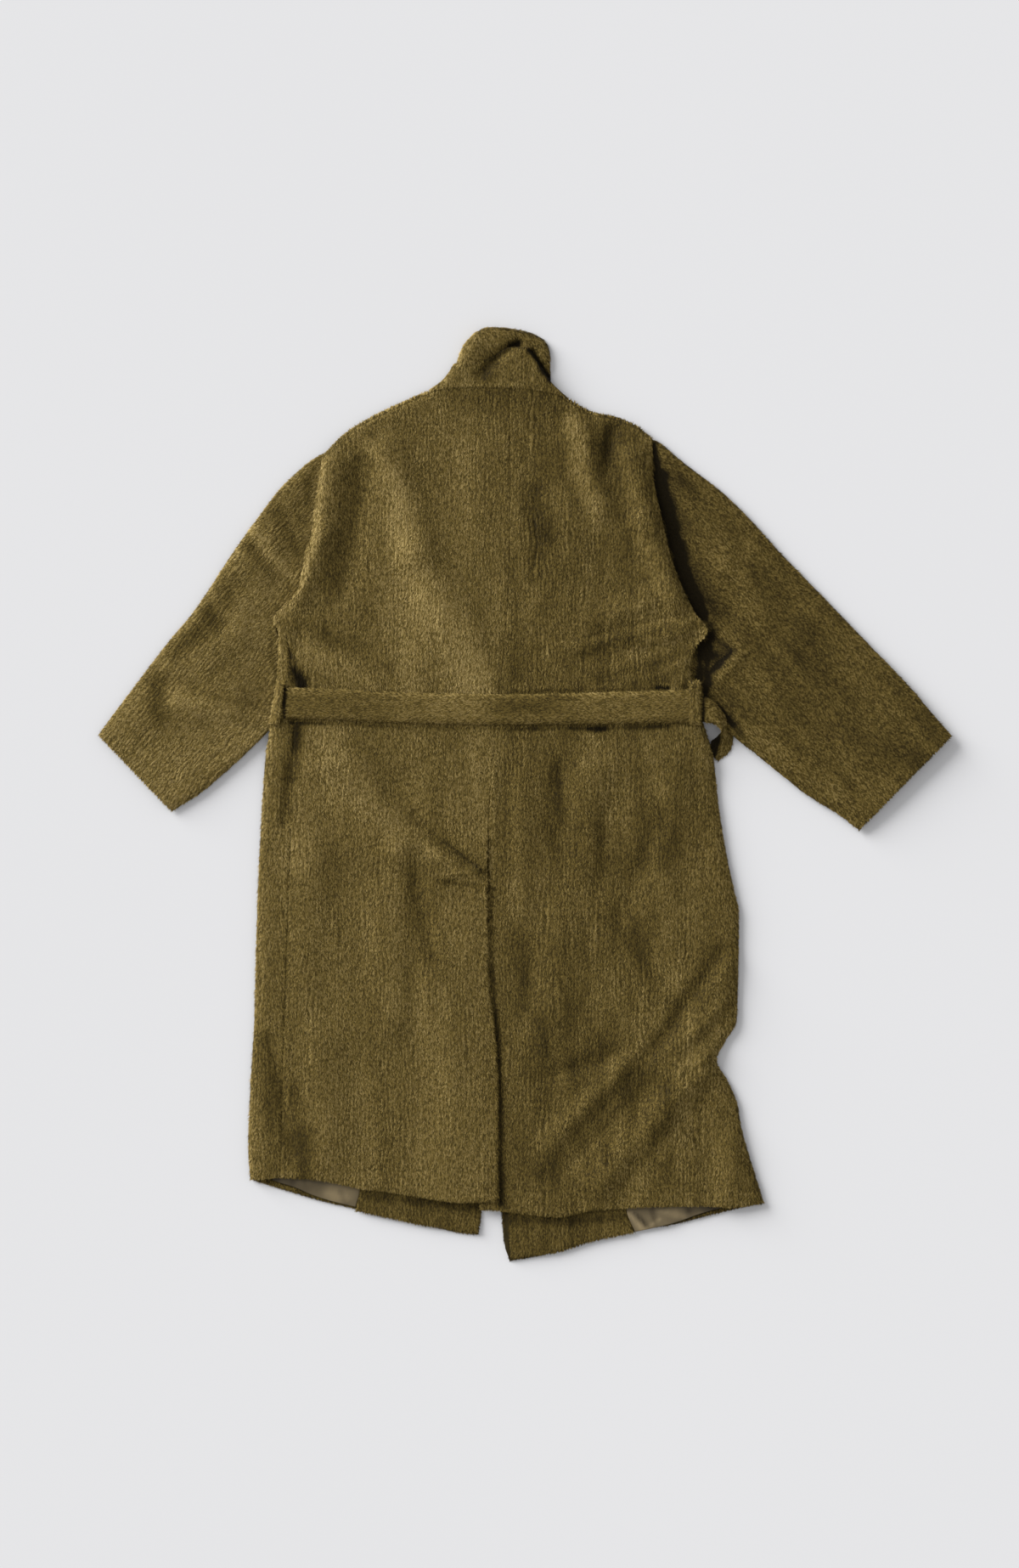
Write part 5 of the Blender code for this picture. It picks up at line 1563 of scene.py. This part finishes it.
class OVERCOAT_OT_belt(bpy.types.Operator):
    """Make the tie belt and its two loops"""

    bl_idname = "overcoat.belt"
    bl_label = "Belt and loops"

    def execute(self, context):
        """Lay the hidden stretch, the stretch over the back, the bow at the side and the loops."""
        hidden = Plan(BELT_FRONT_LEFT, BELT_FRONT_RIGHT, [], [], HIDDEN_SPACING, rim=4.0,
                      inset=insets(1, 1, 1, 1))
        lay_sheet("belt_front", hidden, flat_rest, sizes().belt, rim=6.0)
        over = Plan(BELT_LEFT, BELT_RIGHT, BELT_BOTTOM, BELT_TOP, BELT_SPACING, rim=4.0,
                    inset=insets(1, 0, 0.8, 0.8))
        pile = {"shades": BELT_TONE_AND_PAINTED_SHADING, "ribbed": 0.0}
        lay_sheet("belt_back", over, on_plan(belt_level), sizes().belt, rim=8.0,
                  piles=[dict(pile, seed=500, nap=LEFTWARD, tone=0.04, edges=(0.5, 0.0, 0.5, 0.5))])
        bow = Plan(BELT_SIDE_OUTER, BELT_SIDE_INNER, [], [], BOW_SPACING, rim=2.0,
                   inset=insets(0.8, 0.4, 0, 0))
        lay_sheet("belt_side", bow, belt_side_rest, BOW_CLOTH, rim=5.0,
                  piles=[dict(pile, seed=520, flows=True, edges=(0.8, 0.8, 0.0, 0.0))])
        pile = {"shades": BELT_TONE_AND_PAINTED_SHADING, "length": LOOP_PILE, "tone": -0.02}
        for node, edges, seed in (("belt_loop_left", LOOP_LEFT_EDGES, 540),
                                  ("belt_loop_right", LOOP_RIGHT_EDGES, 560)):
            plan = Plan(*edges, [], [], LOOP_SPACING, rim=2.0, inset=insets(0.5, 0.5, 0, 0))
            lay_sheet(node, plan, loop_rest, LOOP_CLOTH, rim=4.0,
                      piles=[dict(pile, seed=seed)], bent=True)
        return {"FINISHED"}


class OVERCOAT_OT_buttons(bpy.types.Operator):
    """Give the hidden buttons their horn"""

    bl_idname = "overcoat.buttons"
    bl_label = "Buttons"

    def execute(self, context):
        """Put the horn on each button of the frame."""
        horn = material_for("coat_horn", horn_material)
        for name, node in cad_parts.items():
            if name.startswith("button_"):
                node.data.materials.clear()
                node.data.materials.append(horn)
        return {"FINISHED"}


class OVERCOAT_OT_stage(bpy.types.Operator):
    """Make the floor, the light and the camera over the coat"""

    bl_idname = "overcoat.stage"
    bl_label = "Stage"

    def execute(self, context):
        """Lay the floor, hang the light and set the camera straight above."""
        scene = context.scene
        stage = settings().stage
        bpy.ops.mesh.primitive_grid_add(x_subdivisions=FLOOR_PARTS, y_subdivisions=FLOOR_PARTS,
                                        size=FLOOR_SIZE, location=(0.0, 0.0, -FLOOR_DROP))
        floor = context.object
        floor.name = "floor"
        floor.data.materials.append(material_for("coat_floor", floor_material))
        sun = bpy.data.lights.new("window", "SUN")
        sun.energy = stage.sun_strength
        sun.angle = stage.sun_spread
        lamp = bpy.data.objects.new("window", sun)
        lamp.rotation_euler = (0.5 * np.pi - stage.sun_height, 0.0, np.pi + stage.sun_side)
        scene.collection.objects.link(lamp)
        world = bpy.data.worlds.new("studio")
        world.use_nodes = True
        sky = world.node_tree.nodes["Background"]
        sky.inputs["Color"].default_value = (*WHITE, 1.0)
        sky.inputs["Strength"].default_value = stage.sky_strength
        scene.world = world
        camera = bpy.data.cameras.new("above")
        camera.sensor_fit = "VERTICAL"
        camera.sensor_height = 24.0
        camera.lens = camera.sensor_height * stage.camera_height / stage.frame_height
        camera.clip_end = 100.0
        eye = bpy.data.objects.new("above", camera)
        eye.location = (*stage.camera_place, stage.camera_height)
        scene.collection.objects.link(eye)
        scene.camera = eye
        scene.view_settings.view_transform = "Standard"
        scene.view_settings.look = "None"
        return {"FINISHED"}


class OVERCOAT_PT_panel(bpy.types.Panel):
    """List the coat's steps and settings in the sidebar"""

    bl_label = "Overcoat"
    bl_idname = "OVERCOAT_PT_panel"
    bl_space_type = "VIEW_3D"
    bl_region_type = "UI"
    bl_category = "Overcoat"

    def draw(self, context):
        """Draw a button for each step, then the settings."""
        for operator in OPERATORS:
            self.layout.operator(operator.bl_idname)
        coat = settings()
        self.layout.prop(coat, "seed")
        for group in (coat.sizes, coat.colours, coat.stage):
            box = self.layout.box()
            for name in group.__annotations__:
                box.prop(group, name)


OPERATORS = (OVERCOAT_OT_fronts, OVERCOAT_OT_linings, OVERCOAT_OT_backs, OVERCOAT_OT_sleeves,
             OVERCOAT_OT_collar, OVERCOAT_OT_belt, OVERCOAT_OT_buttons, OVERCOAT_OT_stage)
CLASSES = (CoatSizes, CoatColours, StageSizes, CoatSettings) + OPERATORS + (OVERCOAT_PT_panel,)


def register():
    """Register the classes and hang the settings on the scene."""
    for cls in CLASSES:
        bpy.utils.register_class(cls)
    bpy.types.Scene.overcoat = PointerProperty(type=CoatSettings)


def unregister():
    """Take the settings and classes away again."""
    del bpy.types.Scene.overcoat
    for cls in reversed(CLASSES):
        bpy.utils.unregister_class(cls)


def main():
    """Run every step in order."""
    register()
    bpy.ops.overcoat.fronts()
    bpy.ops.overcoat.linings()
    bpy.ops.overcoat.backs()
    bpy.ops.overcoat.sleeves()
    bpy.ops.overcoat.collar()
    bpy.ops.overcoat.belt()
    bpy.ops.overcoat.buttons()
    bpy.ops.overcoat.stage()


if __name__ == "__main__":
    main()
